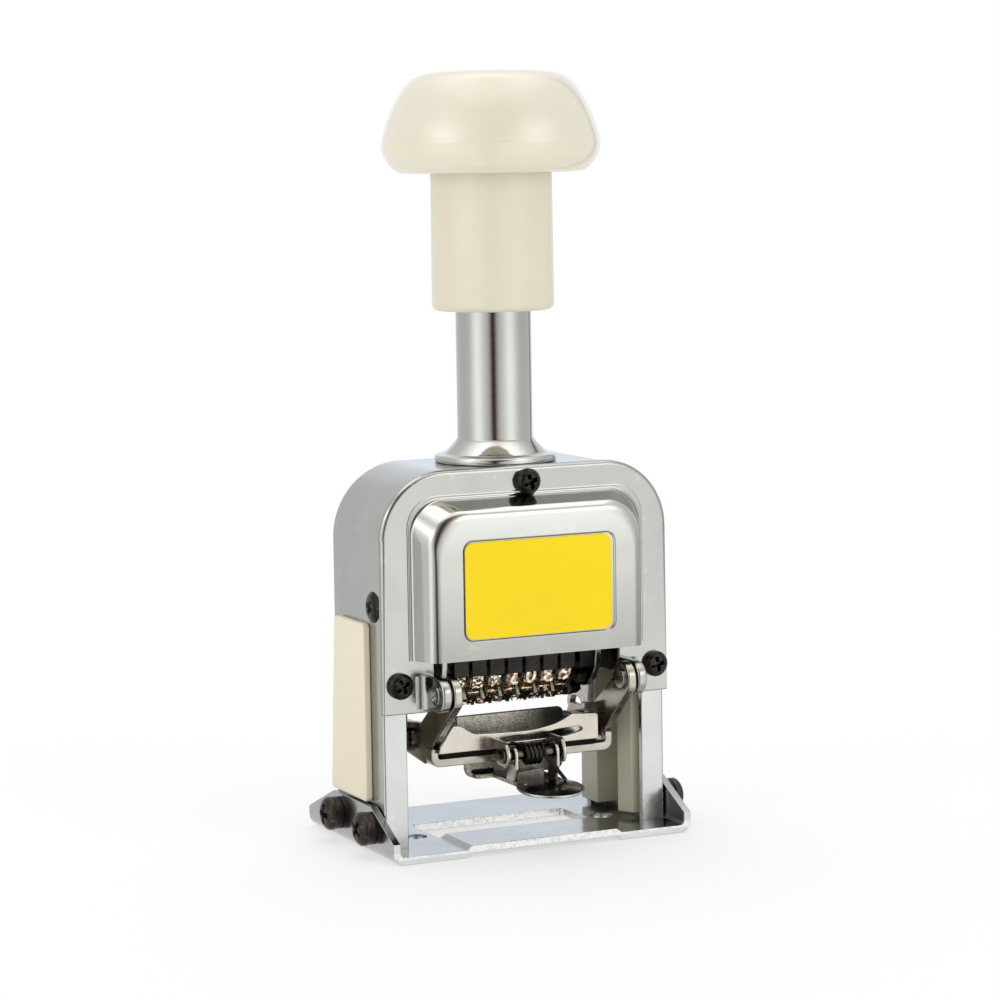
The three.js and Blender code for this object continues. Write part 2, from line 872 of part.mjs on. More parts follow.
// Chrome neck: a disc, a flared bell and the tube that the sleeve slides on
function neck() {
  const discTop = housingTop + neckDisc;
  const bore = rodRadius + rodHoleGap;
  const tube = turned(
    [
      [bore, housingTop - stubLength],
      [stubRadius, housingTop - stubLength],
      [stubRadius, housingTop],
      [neckDiscRadius, housingTop],
      [neckDiscRadius, discTop],
      ...bellShares.map(([r, h]) => [
        tubeRadius + (bellFootRadius - tubeRadius) * r,
        discTop + bellHeight * h,
      ]),
      [tubeRadius, tubeTop],
      [tubeBoreRadius, tubeTop],
      [tubeBoreRadius, tubeFloorTop],
      [bore, tubeFloorTop],
      [bore, housingTop - stubLength],
    ],
    roundSides,
  );
  const mesh = piece("neck_tube", "chrome", tube);
  const nut = piece(
    "neck_nut",
    "darkNickel",
    level(ring(0, 0, neckNutRadius, 6), 0, neckNut, [ring(0, 0, stubRadius + seatGap, roundSides)]),
  );
  mesh.position.set(0, stampAxisY, 0);
  nut.position.set(0, stampAxisY, housingTop - housingWall - neckNut);
  return [mesh, nut];
}

function earRivets() {
  const reach = earInnerX + earWidth - armInnerX + seatGap;
  return [-1, 1].map((hand) => {
    const made = turned(
      [
        [0, -reach - rivetHead],
        [rivetHeadRadius, -reach - rivetHead],
        [rivetHeadRadius, -reach],
        [rivetRadius, -reach],
        [rivetRadius, 0],
        [rivetHeadRadius, 0],
        [rivetHeadRadius, rivetHead],
        [0, rivetHead],
      ],
      smallSides,
    );
    const mesh = piece(`ear_rivet_${handName(hand)}`, "nickel", made);
    return sideways(mesh, hand, hand * (earInnerX + earWidth), earPivotY, earPivotZ);
  });
}

// Lock button at the back, which holds the carriage half way down while the wheels are set
function lockButton() {
  const reach = housingWall + lockReach;
  const innerFace = -housingWall - seatGap;
  const made = turned(
    [
      [0, -reach],
      [lockStemRadius, -reach],
      [lockStemRadius, innerFace - lockCollar],
      [lockCollarRadius, innerFace - lockCollar],
      [lockCollarRadius, innerFace],
      [lockStemRadius, innerFace],
      [lockStemRadius, lockTravel + seatGap],
      [lockHeadRadius, lockTravel + seatGap],
      [lockHeadRadius, lockTravel + seatGap + lockHead],
      [0, lockTravel + seatGap + lockHead],
    ],
    smallSides,
  );
  const mesh = piece("lock_button", "nickel", made);
  mesh.rotation.x = -Math.PI / 2;
  mesh.position.set(0, housingRearY, lockZ);
  return mesh;
}

// Knob profile as shares of its radius and of its height
const knobProfileShares = [
  [0.83, 0],
  [0.88, 0.03],
  [0.93, 0.08],
  [0.97, 0.14],
  [1, 0.21],
  [0.99, 0.32],
  [0.97, 0.44],
  [0.935, 0.55],
  [0.89, 0.66],
  [0.825, 0.78],
  [0.785, 0.835],
  [0.735, 0.895],
  [0.665, 0.953],
  [0.55, 0.983],
  [0.3, 0.997],
];

function knob() {
  const boreTop = knobBottom + knobBoreDepth;
  const holeRadius = rodRadius + rodHoleGap;
  const mesh = piece(
    "knob",
    "cream",
    turned(
      [
        [knobBoreRadius, knobBottom],
        ...knobProfileShares.map(([r, h]) => [knobRadius * r, knobBottom + knobHeight * h]),
        [0, overallHeight],
        [0, rodTop],
        [holeRadius, rodTop],
        [holeRadius, boreTop],
        [knobBoreRadius, boreTop],
        [knobBoreRadius, knobBottom],
      ],
      knobSides,
    ),
  );
  mesh.position.set(0, stampAxisY, 0);
  return mesh;
}

// Sleeve under the knob, with its lower edge rounded
function gripSleeve() {
  const edge = Array.from({ length: cornerSteps + 1 }, (_, i) => {
    const angle = (Math.PI / 2) * (i / cornerSteps);
    return [
      sleeveRadius - sleeveEdge + sleeveEdge * Math.sin(angle),
      sleeveBottom + sleeveEdge - sleeveEdge * Math.cos(angle),
    ];
  });
  const profile = [
    [sleeveBoreRadius, sleeveBottom],
    ...edge,
    [sleeveRadius, knobBottom],
    [sleeveBoreRadius, knobBottom],
    [sleeveBoreRadius, sleeveBottom],
  ];
  const mesh = piece("grip_sleeve", "cream", turned(profile, knobSides));
  mesh.position.set(0, stampAxisY, 0);
  return mesh;
}

// Rod from its head under the bridge up to the knob, and the spacer that stops it at the top
function plungerRod() {
  const rod = piece(
    "plunger_rod",
    "nickel",
    turned(
      [
        [0, bridgeBottom - rodHead],
        [rodHeadRadius, bridgeBottom - rodHead],
        [rodHeadRadius, bridgeBottom],
        [rodRadius, bridgeBottom],
        [rodRadius, rodTop],
        [0, rodTop],
      ],
      smallSides,
    ),
  );
  const bottom = bridgeBottom + bridgeHeight;
  const top = housingTop - stubLength - seatGap;
  const hole = ring(0, 0, rodRadius + rodHoleGap);
  const spacer = piece("rod_spacer", "nickel", level(ring(0, 0, spacerRadius), bottom, top, [hole]));
  rod.position.set(0, stampAxisY, 0);
  spacer.position.set(0, stampAxisY, 0);
  return [rod, spacer];
}

const shoeFrontY = grooveFrontY + seatGap;
const shoeRearY = grooveFrontY + grooveDepth - seatGap;

// Carriage: a bridge on the rod, two cheeks that carry the wheels and two shoes in the guides
function carriage() {
  const bridgeOutline = outline([
    [-shoeInnerX, bridgeFrontY],
    [shoeInnerX, bridgeFrontY],
    [shoeInnerX, shoeFrontY],
    [shoeOuterX, shoeFrontY],
    [shoeOuterX, shoeRearY],
    [shoeInnerX, shoeRearY],
    [shoeInnerX, bridgeRearY],
    [-shoeInnerX, bridgeRearY],
    [-shoeInnerX, shoeRearY],
    [-shoeOuterX, shoeRearY],
    [-shoeOuterX, shoeFrontY],
    [-shoeInnerX, shoeFrontY],
  ]);
  const rodHole = ring(0, stampAxisY, rodRadius + rodHoleGap);
  const bridge = level(bridgeOutline, bridgeBottom, bridgeBottom + bridgeHeight, [rodHole]);
  const cheekSection = outline([
    [cheekFrontY, bridgeBottom, cheekCorner],
    [cheekFrontY, cheekBottom, cheekRadius * Math.SQRT1_2],
    [cheekRearY, cheekBottom, cheekCorner],
    [cheekRearY, bridgeBottom, cheekCorner],
  ]);
  const shoe = outline([
    [shoeFrontY, shoeBottom],
    [shoeRearY, shoeBottom],
    [shoeRearY, bridgeBottom],
    [shoeFrontY, bridgeBottom],
  ]);
  const pairs = [-1, 1].flatMap((hand) => {
    const end = handName(hand);
    const studLength = shoeInnerX - cheekOuterX;
    const stud = piece(`link_stud_${end}`, "nickel", level(ring(0, 0, studRadius), 0, studLength));
    return [
      piece(`carriage_cheek_${end}`, "nickel", side(cheekSection, hand * cheekInnerX, hand * cheekOuterX)),
      piece(`slide_shoe_${end}`, "blackSteel", side(shoe, hand * shoeInnerX, hand * shoeOuterX)),
      sideways(stud, hand, hand * cheekOuterX, stampAxisY, linkTopZ),
    ];
  });
  const shaft = side(ring(stampAxisY, wheelCentreZ, shaftRadius), -cheekInnerX, cheekInnerX);
  return [
    piece("carriage_bridge", "nickel", bridge),
    ...pairs,
    piece("wheel_shaft", "nickel", shaft),
  ];
}

// Middles of the seven wheels along the shaft
const wheelPlaces = Array.from(
  { length: wheelCount },
  (_, i) => wheelsMiddleX + (i - (wheelCount - 1) / 2) * wheelPitch,
);
const dialRightX = cheekInnerX - seatGap;
const dialMiddleX = dialRightX - dialWidth / 2;

// Black comb in front of the wheels, with one springy finger for each wheel and for the dial
function detentComb() {
  const half = combFingerWidth / 2;
  const fingers = [...wheelPlaces.map((x) => [x - half, x + half]), [dialMiddleX - half, cheekInnerX]];
  const edge = fingers.flatMap(([x0, x1]) => [
    [x0, combRootZ],
    [x0, combBottom],
    [x1, combBottom],
    [x1, combRootZ],
  ]);
  const corners = [
    [-cheekInnerX, combTop],
    [-cheekInnerX, combRootZ],
    ...edge.slice(0, -1),
    [cheekInnerX, combTop],
  ];
  const comb = front(outline(corners), combRearY - combSheet, combRearY);
  return piece("detent_comb", "blackSteel", comb);
}

// A wheel's outline in the plane across the shaft: flat raised blocks all round
function typeOutline() {
  const half = typeHeight / 2;
  return Array.from({ length: facetCount }, (_, i) => {
    const angle = (2 * Math.PI * i) / facetCount - Math.PI / 2;
    const out = new THREE.Vector2(Math.cos(angle), Math.sin(angle));
    const along = new THREE.Vector2(-out.y, out.x);
    return [
      [typeFloorRadius, -half],
      [typeRadius, -half],
      [typeRadius, half],
      [typeFloorRadius, half],
    ].map(([r, across]) => out.clone().multiplyScalar(r).addScaledVector(along, across));
  }).flat();
}

// Pointed teeth all round, leaning one way as a ratchet does
function ratchetOutline() {
  return Array.from({ length: facetCount }, (_, i) => {
    const step = (2 * Math.PI) / facetCount;
    const angle = step * i - Math.PI / 2;
    return [
      [ratchetFootRadius, angle - step / 4],
      [ratchetRadius, angle],
      [ratchetFootRadius, angle + step / facetCount],
    ].map(([r, a]) => new THREE.Vector2(r * Math.cos(a), r * Math.sin(a)));
  }).flat();
}

function onShaft(mesh, x) {
  mesh.position.set(x, stampAxisY, wheelCentreZ);
  return mesh;
}

function numberWheels() {
  const bore = ring(0, 0, shaftRadius + seatGap);
  const left = -wheelWidth / 2;
  const typeLeft = wheelWidth / 2 - typeWidth;
  return wheelPlaces.map((x, i) => {
    const type = side(typeOutline(), typeLeft, wheelWidth / 2, [bore]);
    const hub = side(ring(0, 0, typeFloorRadius, roundSides), left, wheelWidth / 2, [bore]);
    const ratchet = side(ratchetOutline(), left, left + ratchetWidth, [bore]);
    return onShaft(piece(`number_wheel_${i + 1}`, "brass", type.add(hub).add(ratchet)), x);
  });
}

// Black notched dial that sets how often each number repeats
function repeatDial() {
  const step = (2 * Math.PI) / dialNotchCount;
  const points = Array.from({ length: dialNotchCount }, (_, i) => {
    const angle = step * i;
    return [
      [dialRadius, angle - step / 4],
      [dialRadius, angle + step / 4],
      [dialRadius - dialNotch, angle + step / 4],
      [dialRadius - dialNotch, angle + (step * 3) / 4],
    ].map(([r, a]) => new THREE.Vector2(r * Math.cos(a), r * Math.sin(a)));
  }).flat();
  const half = dialWidth / 2;
  const made = side(points, -half, half, [ring(0, 0, shaftRadius + seatGap)]);
  return onShaft(piece("repeat_dial", "blackSteel", made), dialMiddleX);
}

// Rocker behind the wheels: two arms on the shaft and the bar that carries the pawls
function pawlRocker() {
  const leftOuter = -cheekInnerX + seatGap;
  const rightInner = wheelPlaces[wheelCount - 1] + wheelWidth / 2 + seatGap;
  const barOuter = rockerBarInner + rockerBar;
  const along = THREE.MathUtils.degToRad(rockerRestAngle);
  const halfSpan = THREE.MathUtils.degToRad(rockerSpanAngle / 2);
  const bend = (radius, from, to) =>
    Array.from({ length: cornerSteps + 1 }, (_, i) => {
      const angle = from + ((to - from) * i) / cornerSteps;
      return new THREE.Vector2(radius * Math.cos(angle), radius * Math.sin(angle));
    });
  const bar = [
    ...bend(barOuter, along - halfSpan, along + halfSpan),
    ...bend(rockerBarInner, along + halfSpan, along - halfSpan),
  ];
  const hole = ring(0, 0, shaftRadius + seatGap);
  const arm = strap(
    0,
    0,
    rockerHubRadius,
    rockerBarInner * Math.cos(along),
    rockerBarInner * Math.sin(along),
    rockerBar,
  );
  const left = side(arm, leftOuter, leftOuter + rockerSheet, [hole]);
  const right = side(arm, rightInner, rightInner + rockerSheet, [hole]);
  const made = side(bar, leftOuter, rightInner + rockerSheet).add(left).add(right);
  return onShaft(piece("pawl_rocker", "darkNickel", made), 0);
}

// Ink fork: two bent arms hinged on the ears, joined by a bar and carrying the tray
function inkFork() {
  const arm = outline([
    [earPivotY - earRadius * Math.SQRT1_2, earPivotZ - earRadius * Math.SQRT1_2],
    [forkKneeFrontY, forkKneeFrontZ],
    [forkBarFrontY, forkBarBottom],
    [forkHeelY, forkBarBottom],
    [forkStudY, forkStudZ - forkStudBoss],
    [forkStudY, forkStudZ + forkStudBoss],
    [forkBackY, forkBackZ, forkBackRadius],
    [earPivotY + earRadius, earPivotZ],
  ]);
  const pivotHole = rivetRadius + shankGap;
  let fork = box(
    -armOuterX,
    armOuterX,
    forkBarFrontY,
    forkBarFrontY + forkBarDepth,
    forkBarBottom,
    forkBarBottom + forkSheet,
  );
  [-1, 1].forEach((hand) => {
    const x0 = hand * armInnerX;
    const x1 = hand * armOuterX;
    let plate = side(arm, x0, x1);
    plate = plate.add(side(ring(earPivotY, earPivotZ, earRadius, roundSides), x0, x1));
    plate = plate.add(side(ring(forkStudY, forkStudZ, forkStudBoss, roundSides), x0, x1));
    plate = plate.subtract(
      boreX(pivotHole, hand * (armInnerX - overrun), hand * (armOuterX + overrun), earPivotY, earPivotZ),
    );
    const tab = box(
      hand * (armInnerX - tabReach),
      hand * armOuterX,
      tabRearY - tabSheet,
      tabRearY,
      tabTop - tabHeight,
      tabTop,
    );
    fork = fork.add(plate).add(tab);
  });
  return piece("ink_fork", "nickel", fork);
}

// Studs on the rear ends of the fork, headed to keep the drag links on
function forkStuds() {
  const shank = linkInnerX + linkSheet + seatGap - armOuterX;
  return [-1, 1].map((hand) => {
    const made = turned(
      [
        [0, 0],
        [studRadius, 0],
        [studRadius, shank],
        [studHeadRadius, shank],
        [studHeadRadius, shank + studHead],
        [0, shank + studHead],
      ],
      smallSides,
    );
    const mesh = piece(`fork_stud_${handName(hand)}`, "nickel", made);
    return sideways(mesh, hand, hand * armOuterX, forkStudY, forkStudZ);
  });
}

// Bracket on the fork's bar: a wall with two raised wings and two lugs for the clip's pin
const wingShares = [
  [-0.4, 0],
  [0.4, 0],
  [0.4, 0.25],
  [0.85, 0.25],
  [0.85, 0.8],
  [0.79, 0.98],
  [0.54, 1],
  [0.28, 0.67],
  [-0.03, 0.57],
  [-0.48, 0.6],
  [-0.61, 0.73],
  [-0.72, 0.92],
  [-0.83, 0.95],
  [-0.9, 0.76],
  [-0.93, 0.37],
  [-1, 0.25],
  [-0.4, 0.25],
];

function clipBracket() {
  const wall = outline(wingShares.map(([x, z]) => [wingHalf * x, wingBottom + wingRise * z]));
  const slot = outline([
    [wingSlotX - wingSlotHalf, wingSlotZ],
    [wingSlotX, wingSlotZ - wingSlotRise],
    [wingSlotX + wingSlotHalf, wingSlotZ],
    [wingSlotX, wingSlotZ + wingSlotRise],
  ]);
  const wallRearY = forkBarFrontY - wingStandoff;
  const wallFrontY = wallRearY - wingSheet;
  let bracket = front(wall, wallFrontY, wallRearY, [slot]);
  bracket = bracket.add(
    box(
      -wingFootHalf,
      wingFootHalf,
      wallFrontY,
      forkBarFrontY + forkBarDepth,
      wingBottom,
      wingBottom + wingFoot,
    ),
  );
  [-1, 1].forEach((hand) => {
    const lug = outline([
      [wallRearY, wingBottom],
      [wallRearY, clipPivotZ + lugRadius],
      [clipPivotY - lugRadius, clipPivotZ + lugRadius, lugRadius],
      [clipPivotY - lugRadius, clipPivotZ - lugRadius, lugRadius],
      [wallFrontY, clipPivotZ - lugRadius],
      [wallFrontY, wingBottom],
    ]);
    const hole = ring(clipPivotY, clipPivotZ, clipPinRadius + shankGap);
    const x = hand * lugX;
    bracket = bracket.add(side(lug, x - lugSheet / 2, x + lugSheet / 2, [hole]));
  });
  return piece("clip_bracket", "nickel", bracket);
}

function clipPin() {
  const reach = lugX + lugSheet / 2;
  const made = turned(
    [
      [0, -reach - rivetHead],
      [clipPinHeadRadius, -reach - rivetHead],
      [clipPinHeadRadius, -reach],
      [clipPinRadius, -reach],
      [clipPinRadius, reach],
      [clipPinHeadRadius, reach],
      [clipPinHeadRadius, reach + rivetHead],
      [0, reach + rivetHead],
    ],
    smallSides,
  );
  return sideways(piece("clip_pin", "nickel", made), 1, 0, clipPivotY, clipPivotZ);
}

// Thumb clip: a round pad in front, a strip under the bar and a wide jaw behind it
function thumbClip() {
  const half = jawWidth / 2;
  const jaw = front(
    outline([
      [-half, jawBottom, jawCorner],
      [half, jawBottom, jawCorner],
      [half, jawTop, jawCorner],
      [-half - jawShoulder, jawTop, jawCorner],
      [-half - jawShoulder, jawShoulderZ + jawShoulder],
      [-half, jawShoulderZ],
    ]),
    jawRearY - jawSheet,
    jawRearY,
  );
  const lugOuter = clipLugX + clipSheet / 2;
  const stripFrontY = clipPivotY - clipLugRadius;
  const strip = box(
    -lugOuter,
    lugOuter,
    stripFrontY,
    jawRearY,
    jawBottom,
    jawBottom + clipSheet,
  );
  const lug = outline([
    [stripFrontY, jawBottom],
    [clipPivotY + clipLugRadius, jawBottom],
    [clipPivotY + clipLugRadius, clipPivotZ + clipLugRadius, clipLugRadius],
    [stripFrontY, clipPivotZ + clipLugRadius, clipLugRadius],
  ]);
  const hole = ring(clipPivotY, clipPivotZ, clipPinRadius + shankGap);
  const disc = turned(
    [
      [0, -thumbSheet],
      [thumbRadius - thumbDish, -thumbSheet],
      [thumbRadius, -thumbSheet / 2],
      [thumbRadius, 0],
      [thumbRadius - thumbDish, 0],
      [thumbRadius - thumbDish * 2, thumbSheet / 2],
      [0, thumbSheet],
    ],
    roundSides,
  );
  const tilted = disc.rotate([thumbTiltAngle, 0, 0]).translate([0, thumbY, thumbZ]);
  let clip = jaw.add(strip).add(tilted);
  [-1, 1].forEach((hand) => {
    const x = hand * clipLugX;
    clip = clip.add(side(lug, x - clipSheet / 2, x + clipSheet / 2, [hole]));
  });
  return piece("thumb_clip", "darkNickel", clip);
}

// Tray between the fork's arms, open at the top, and the felt ink pad in it
function padTray() {
  const outside = box(-armInnerX, armInnerX, trayFrontY, trayRearY, trayBottom, trayRim);
  const inside = (gap, bottom, top) =>
    box(
      -armInnerX + trayWall + gap,
      armInnerX - trayWall - gap,
      trayFrontY + trayWall + gap,
      trayRearY - trayWall - gap,
      bottom,
      top,
    );
  const floor = trayBottom + trayWall;
  return [
    piece("pad_tray", "nickel", outside.subtract(inside(0, floor, trayRim + overrun))),
    piece("ink_pad", "felt", inside(seatGap, floor, feltTop)),
  ];
}

// The solid of a spring's wire, once its path is found clear of itself
function checked(name, path, radius) {
  const gap = leastGap(path, radius, coilSteps - 1);
  if (gap < springLeastGap) throw new Error(`${name} touches itself: ${gap}`);
  console.log(`${name}: ${path.length} points, least gap to itself ${gap.toFixed(2)} mm`);
  return wire(path, radius);
}

// Return spring inside the neck, between the neck's floor and the knob
function returnSpring() {
  const bottom = tubeFloorTop + 2 * springWireRadius;
  const top = knobBottom + knobBoreDepth - 2 * springWireRadius;
  const steps = springCoilCount * coilSteps;
  const path = Array.from({ length: steps + 1 }, (_, i) => {
    const angle = (2 * Math.PI * i) / coilSteps;
    return new THREE.Vector3(
      springRadius * Math.cos(angle),
      springRadius * Math.sin(angle),
      bottom + ((top - bottom) * i) / steps,
    );
  });
  path.unshift(path[0].clone().setZ(tubeFloorTop));
  path.push(path[path.length - 1].clone().setZ(knobBottom + knobBoreDepth));
  const mesh = piece("return_spring", "nickel", checked("return_spring", path, springWireRadius));
  mesh.position.set(0, stampAxisY, 0);
  return mesh;
}

// Torsion spring on the clip's pin: one leg rests on the thumb pad, the other on the bracket
function torsionSpring() {
  const steps = clipCoilCount * coilSteps;
  const left = clipCoilRight - clipCoilPitch * clipCoilCount;
  const path = Array.from({ length: steps + 1 }, (_, i) => {
    const angle = Math.PI / 2 - (2 * Math.PI * i) / coilSteps;
    return new THREE.Vector3(
      clipCoilRight - (clipCoilPitch * i) / coilSteps,
      clipPivotY - clipCoilRadius * Math.sin(angle),
      clipPivotZ + clipCoilRadius * Math.cos(angle),
    );
  });
  const thumbTop = new THREE.Vector3(clipLegX, clipLegY, clipLegZ);
  const wallY = forkBarFrontY - wingStandoff - wingSheet;
  const rest = new THREE.Vector3(left, wallY, clipPivotZ + clipCoilRadius);
  return piece(
    "torsion_spring",
    "blackSteel",
    checked("torsion_spring", [thumbTop, ...path, rest], clipWireRadius),
  );
}

// Where the fork's stud stands in the link as both turn in even steps with the stroke
function studPath() {
  const swing = THREE.MathUtils.degToRad(forkSwing);
  const pivot = new THREE.Vector2(earPivotY, earPivotZ);
  const stud = new THREE.Vector2(forkStudY, forkStudZ);
  const eye = new THREE.Vector2(stampAxisY, linkTopZ);
  const start = stud.clone().sub(eye).angle();
  const at = (part) => {
    const place = stud.clone().rotateAround(pivot, -swing * part);
    return place.sub(eye.clone().setY(linkTopZ - stroke * part));
  };
  const turn = at(1).angle() - start;
  return Array.from({ length: linkSlotSteps + 1 }, (_, i) => {
    const part = i / linkSlotSteps;
    return at(part).rotateAround(new THREE.Vector2(), -turn * part);
  });
}

// Drag links from the carriage down to the fork, slotted where they take the fork's stud
function dragLinks() {
  const path = studPath();
  const slotRadius = studRadius + seatGap;
  const link = (x0, x1) => {
    const along = (radius, a, b, over = 0) =>
      side(strap(a.x, a.y, radius, b.x, b.y, radius), x0 - over, x1 + over);
    const top = new THREE.Vector2();
    let body = side(ring(0, 0, linkEyeRadius, roundSides), x0, x1);
    body = body.add(along(linkWaistWidth / 2, top, path[0]));
    path.slice(1).forEach((point, i) => {
      body = body.add(along(slotRadius + linkWall, path[i], point));
    });
    path.slice(1).forEach((point, i) => {
      body = body.subtract(along(slotRadius, path[i], point, overrun));
    });
    return body.subtract(boreX(slotRadius, x0 - overrun, x1 + overrun, 0, 0));
  };
  return [-1, 1].map((hand) => {
    const made = link(hand < 0 ? -linkInnerX - linkSheet : linkInnerX, hand < 0 ? -linkInnerX : linkInnerX + linkSheet);
    const mesh = piece(`drag_link_${handName(hand)}`, "nickel", made);
    mesh.position.set(0, stampAxisY, linkTopZ);
    return mesh;
  });
}

function group(name, ...pieces) {
  const made = new THREE.Group();
  made.name = name;
  pieces.flat().forEach((each) => made.add(each));
  return made;
}

const machine = group(
  "numbering_machine",
  group(
    "frame",
    basePlate(),
    housing(),
    frontCover(),
    labelPlate(),
    coverScrews(),
    sideScrews(),
    baseScrews(),
    sidePads(),
    guides(),
    neck(),
    earRivets(),
  ),
  group("lock", lockButton()),
  group(
    "plunger",
    knob(),
    gripSleeve(),
    plungerRod(),
    carriage(),
    detentComb(),
    returnSpring(),
  ),
  group("wheels", numberWheels(), repeatDial(), pawlRocker()),
  group("fork", inkFork(), forkStuds(), clipBracket(), clipPin(), padTray()),
  group("clip", thumbClip(), torsionSpring()),
  group("links", dragLinks()),
);
machine.position.set(0, originShift, 0);

const part = new THREE.Group();
part.name = "numbering_machine_in_its_frame";
part.add(machine);

export default part;
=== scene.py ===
import math

import bmesh
import bpy
import numpy as np
from mathutils import Matrix, Vector
from mathutils.geometry import tessellate_polygon


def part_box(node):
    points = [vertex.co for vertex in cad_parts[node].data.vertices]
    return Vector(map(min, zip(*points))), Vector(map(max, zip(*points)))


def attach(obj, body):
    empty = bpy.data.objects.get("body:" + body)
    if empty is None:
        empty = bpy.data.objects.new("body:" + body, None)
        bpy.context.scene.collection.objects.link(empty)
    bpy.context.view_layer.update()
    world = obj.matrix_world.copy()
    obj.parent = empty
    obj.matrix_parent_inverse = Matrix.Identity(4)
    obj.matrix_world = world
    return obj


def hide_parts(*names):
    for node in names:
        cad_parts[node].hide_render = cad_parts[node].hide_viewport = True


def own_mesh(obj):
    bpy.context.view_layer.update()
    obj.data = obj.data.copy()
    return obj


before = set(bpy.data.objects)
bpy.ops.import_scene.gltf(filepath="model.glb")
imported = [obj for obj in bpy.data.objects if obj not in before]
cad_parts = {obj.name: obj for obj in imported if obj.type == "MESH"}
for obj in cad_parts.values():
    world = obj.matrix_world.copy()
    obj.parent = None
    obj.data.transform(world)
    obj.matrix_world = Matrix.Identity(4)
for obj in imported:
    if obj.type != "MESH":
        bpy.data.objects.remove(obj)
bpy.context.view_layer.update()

# Sizes below are the machine's own, in millimetres, with its stamp axis at Y = -1.2.
# The frame's origin lies FORWARD millimetres in front of theirs.
MM = 0.001
FORWARD = 4.252905
STAMP_Y = -1.2
COVER_FRONT = -13.8


# Materials

class Level:
    """A number that runs over a surface. Sums and products of it add Math nodes."""

    def __init__(self, nodes, socket):
        self.nodes = nodes
        self.socket = socket

    def math(self, operation, *terms, clamp=False):
        """A Math node over the terms, in their order."""
        node = self.nodes.add("ShaderNodeMath", {"operation": operation, "use_clamp": clamp})
        for socket, term in zip(node.inputs, terms):
            self.nodes.feed(socket, term)
        return Level(self.nodes, node.outputs[0])

    def __add__(self, other):
        return self.math("ADD", self, other)

    def __radd__(self, other):
        return self.math("ADD", other, self)

    def __sub__(self, other):
        return self.math("SUBTRACT", self, other)

    def __rsub__(self, other):
        return self.math("SUBTRACT", other, self)

    def __mul__(self, other):
        return self.math("MULTIPLY", self, other)

    def __rmul__(self, other):
        return self.math("MULTIPLY", other, self)

    def __truediv__(self, other):
        return self.math("DIVIDE", self, other)

    def between(self, low, high):
        """Goes from 0 at low to 1 at high, and no further."""
        return self.math("MULTIPLY_ADD", self, 1 / (high - low), -low / (high - low), clamp=True)

    def most(self, other):
        """The greater of the two at each place."""
        return self.math("MAXIMUM", self, other)

    def least(self, other):
        """The smaller of the two at each place."""
        return self.math("MINIMUM", self, other)

    def size(self):
        """The number without its sign."""
        return self.math("ABSOLUTE", self)

    def falling(self):
        """exp(-level squared): 1 at zero, and next to nothing beyond two."""
        return self.math("EXPONENT", self * self * -1)


class Nodes:
    """A node tree, with one way to add a node and one to feed a socket."""

    def __init__(self, tree):
        self.tree = tree

    def feed(self, socket, term):
        """Links a pattern to the socket, or writes a constant on it."""
        if isinstance(term, Level):
            self.tree.links.new(term.socket, socket)
        elif isinstance(term, bpy.types.NodeSocket):
            self.tree.links.new(term, socket)
        else:
            socket.default_value = term

    def add(self, kind, settings=None, inputs=None):
        """A new node of one kind, with its settings and what its sockets are fed."""
        node = self.tree.nodes.new(kind)
        for name, value in (settings or {}).items():
            setattr(node, name, value)
        for name, term in (inputs or {}).items():
            self.feed(node.inputs[name], term)
        return node

    def looked_at(self):
        """1 for a ray from the camera, a mirror or a glass, and 0 for one that only lights."""
        rays = self.add("ShaderNodeLightPath").outputs
        camera, mirror, glass = (
            Level(self, rays["Is " + kind + " Ray"]) for kind in ("Camera", "Glossy", "Transmission")
        )
        return camera.most(mirror).most(glass)


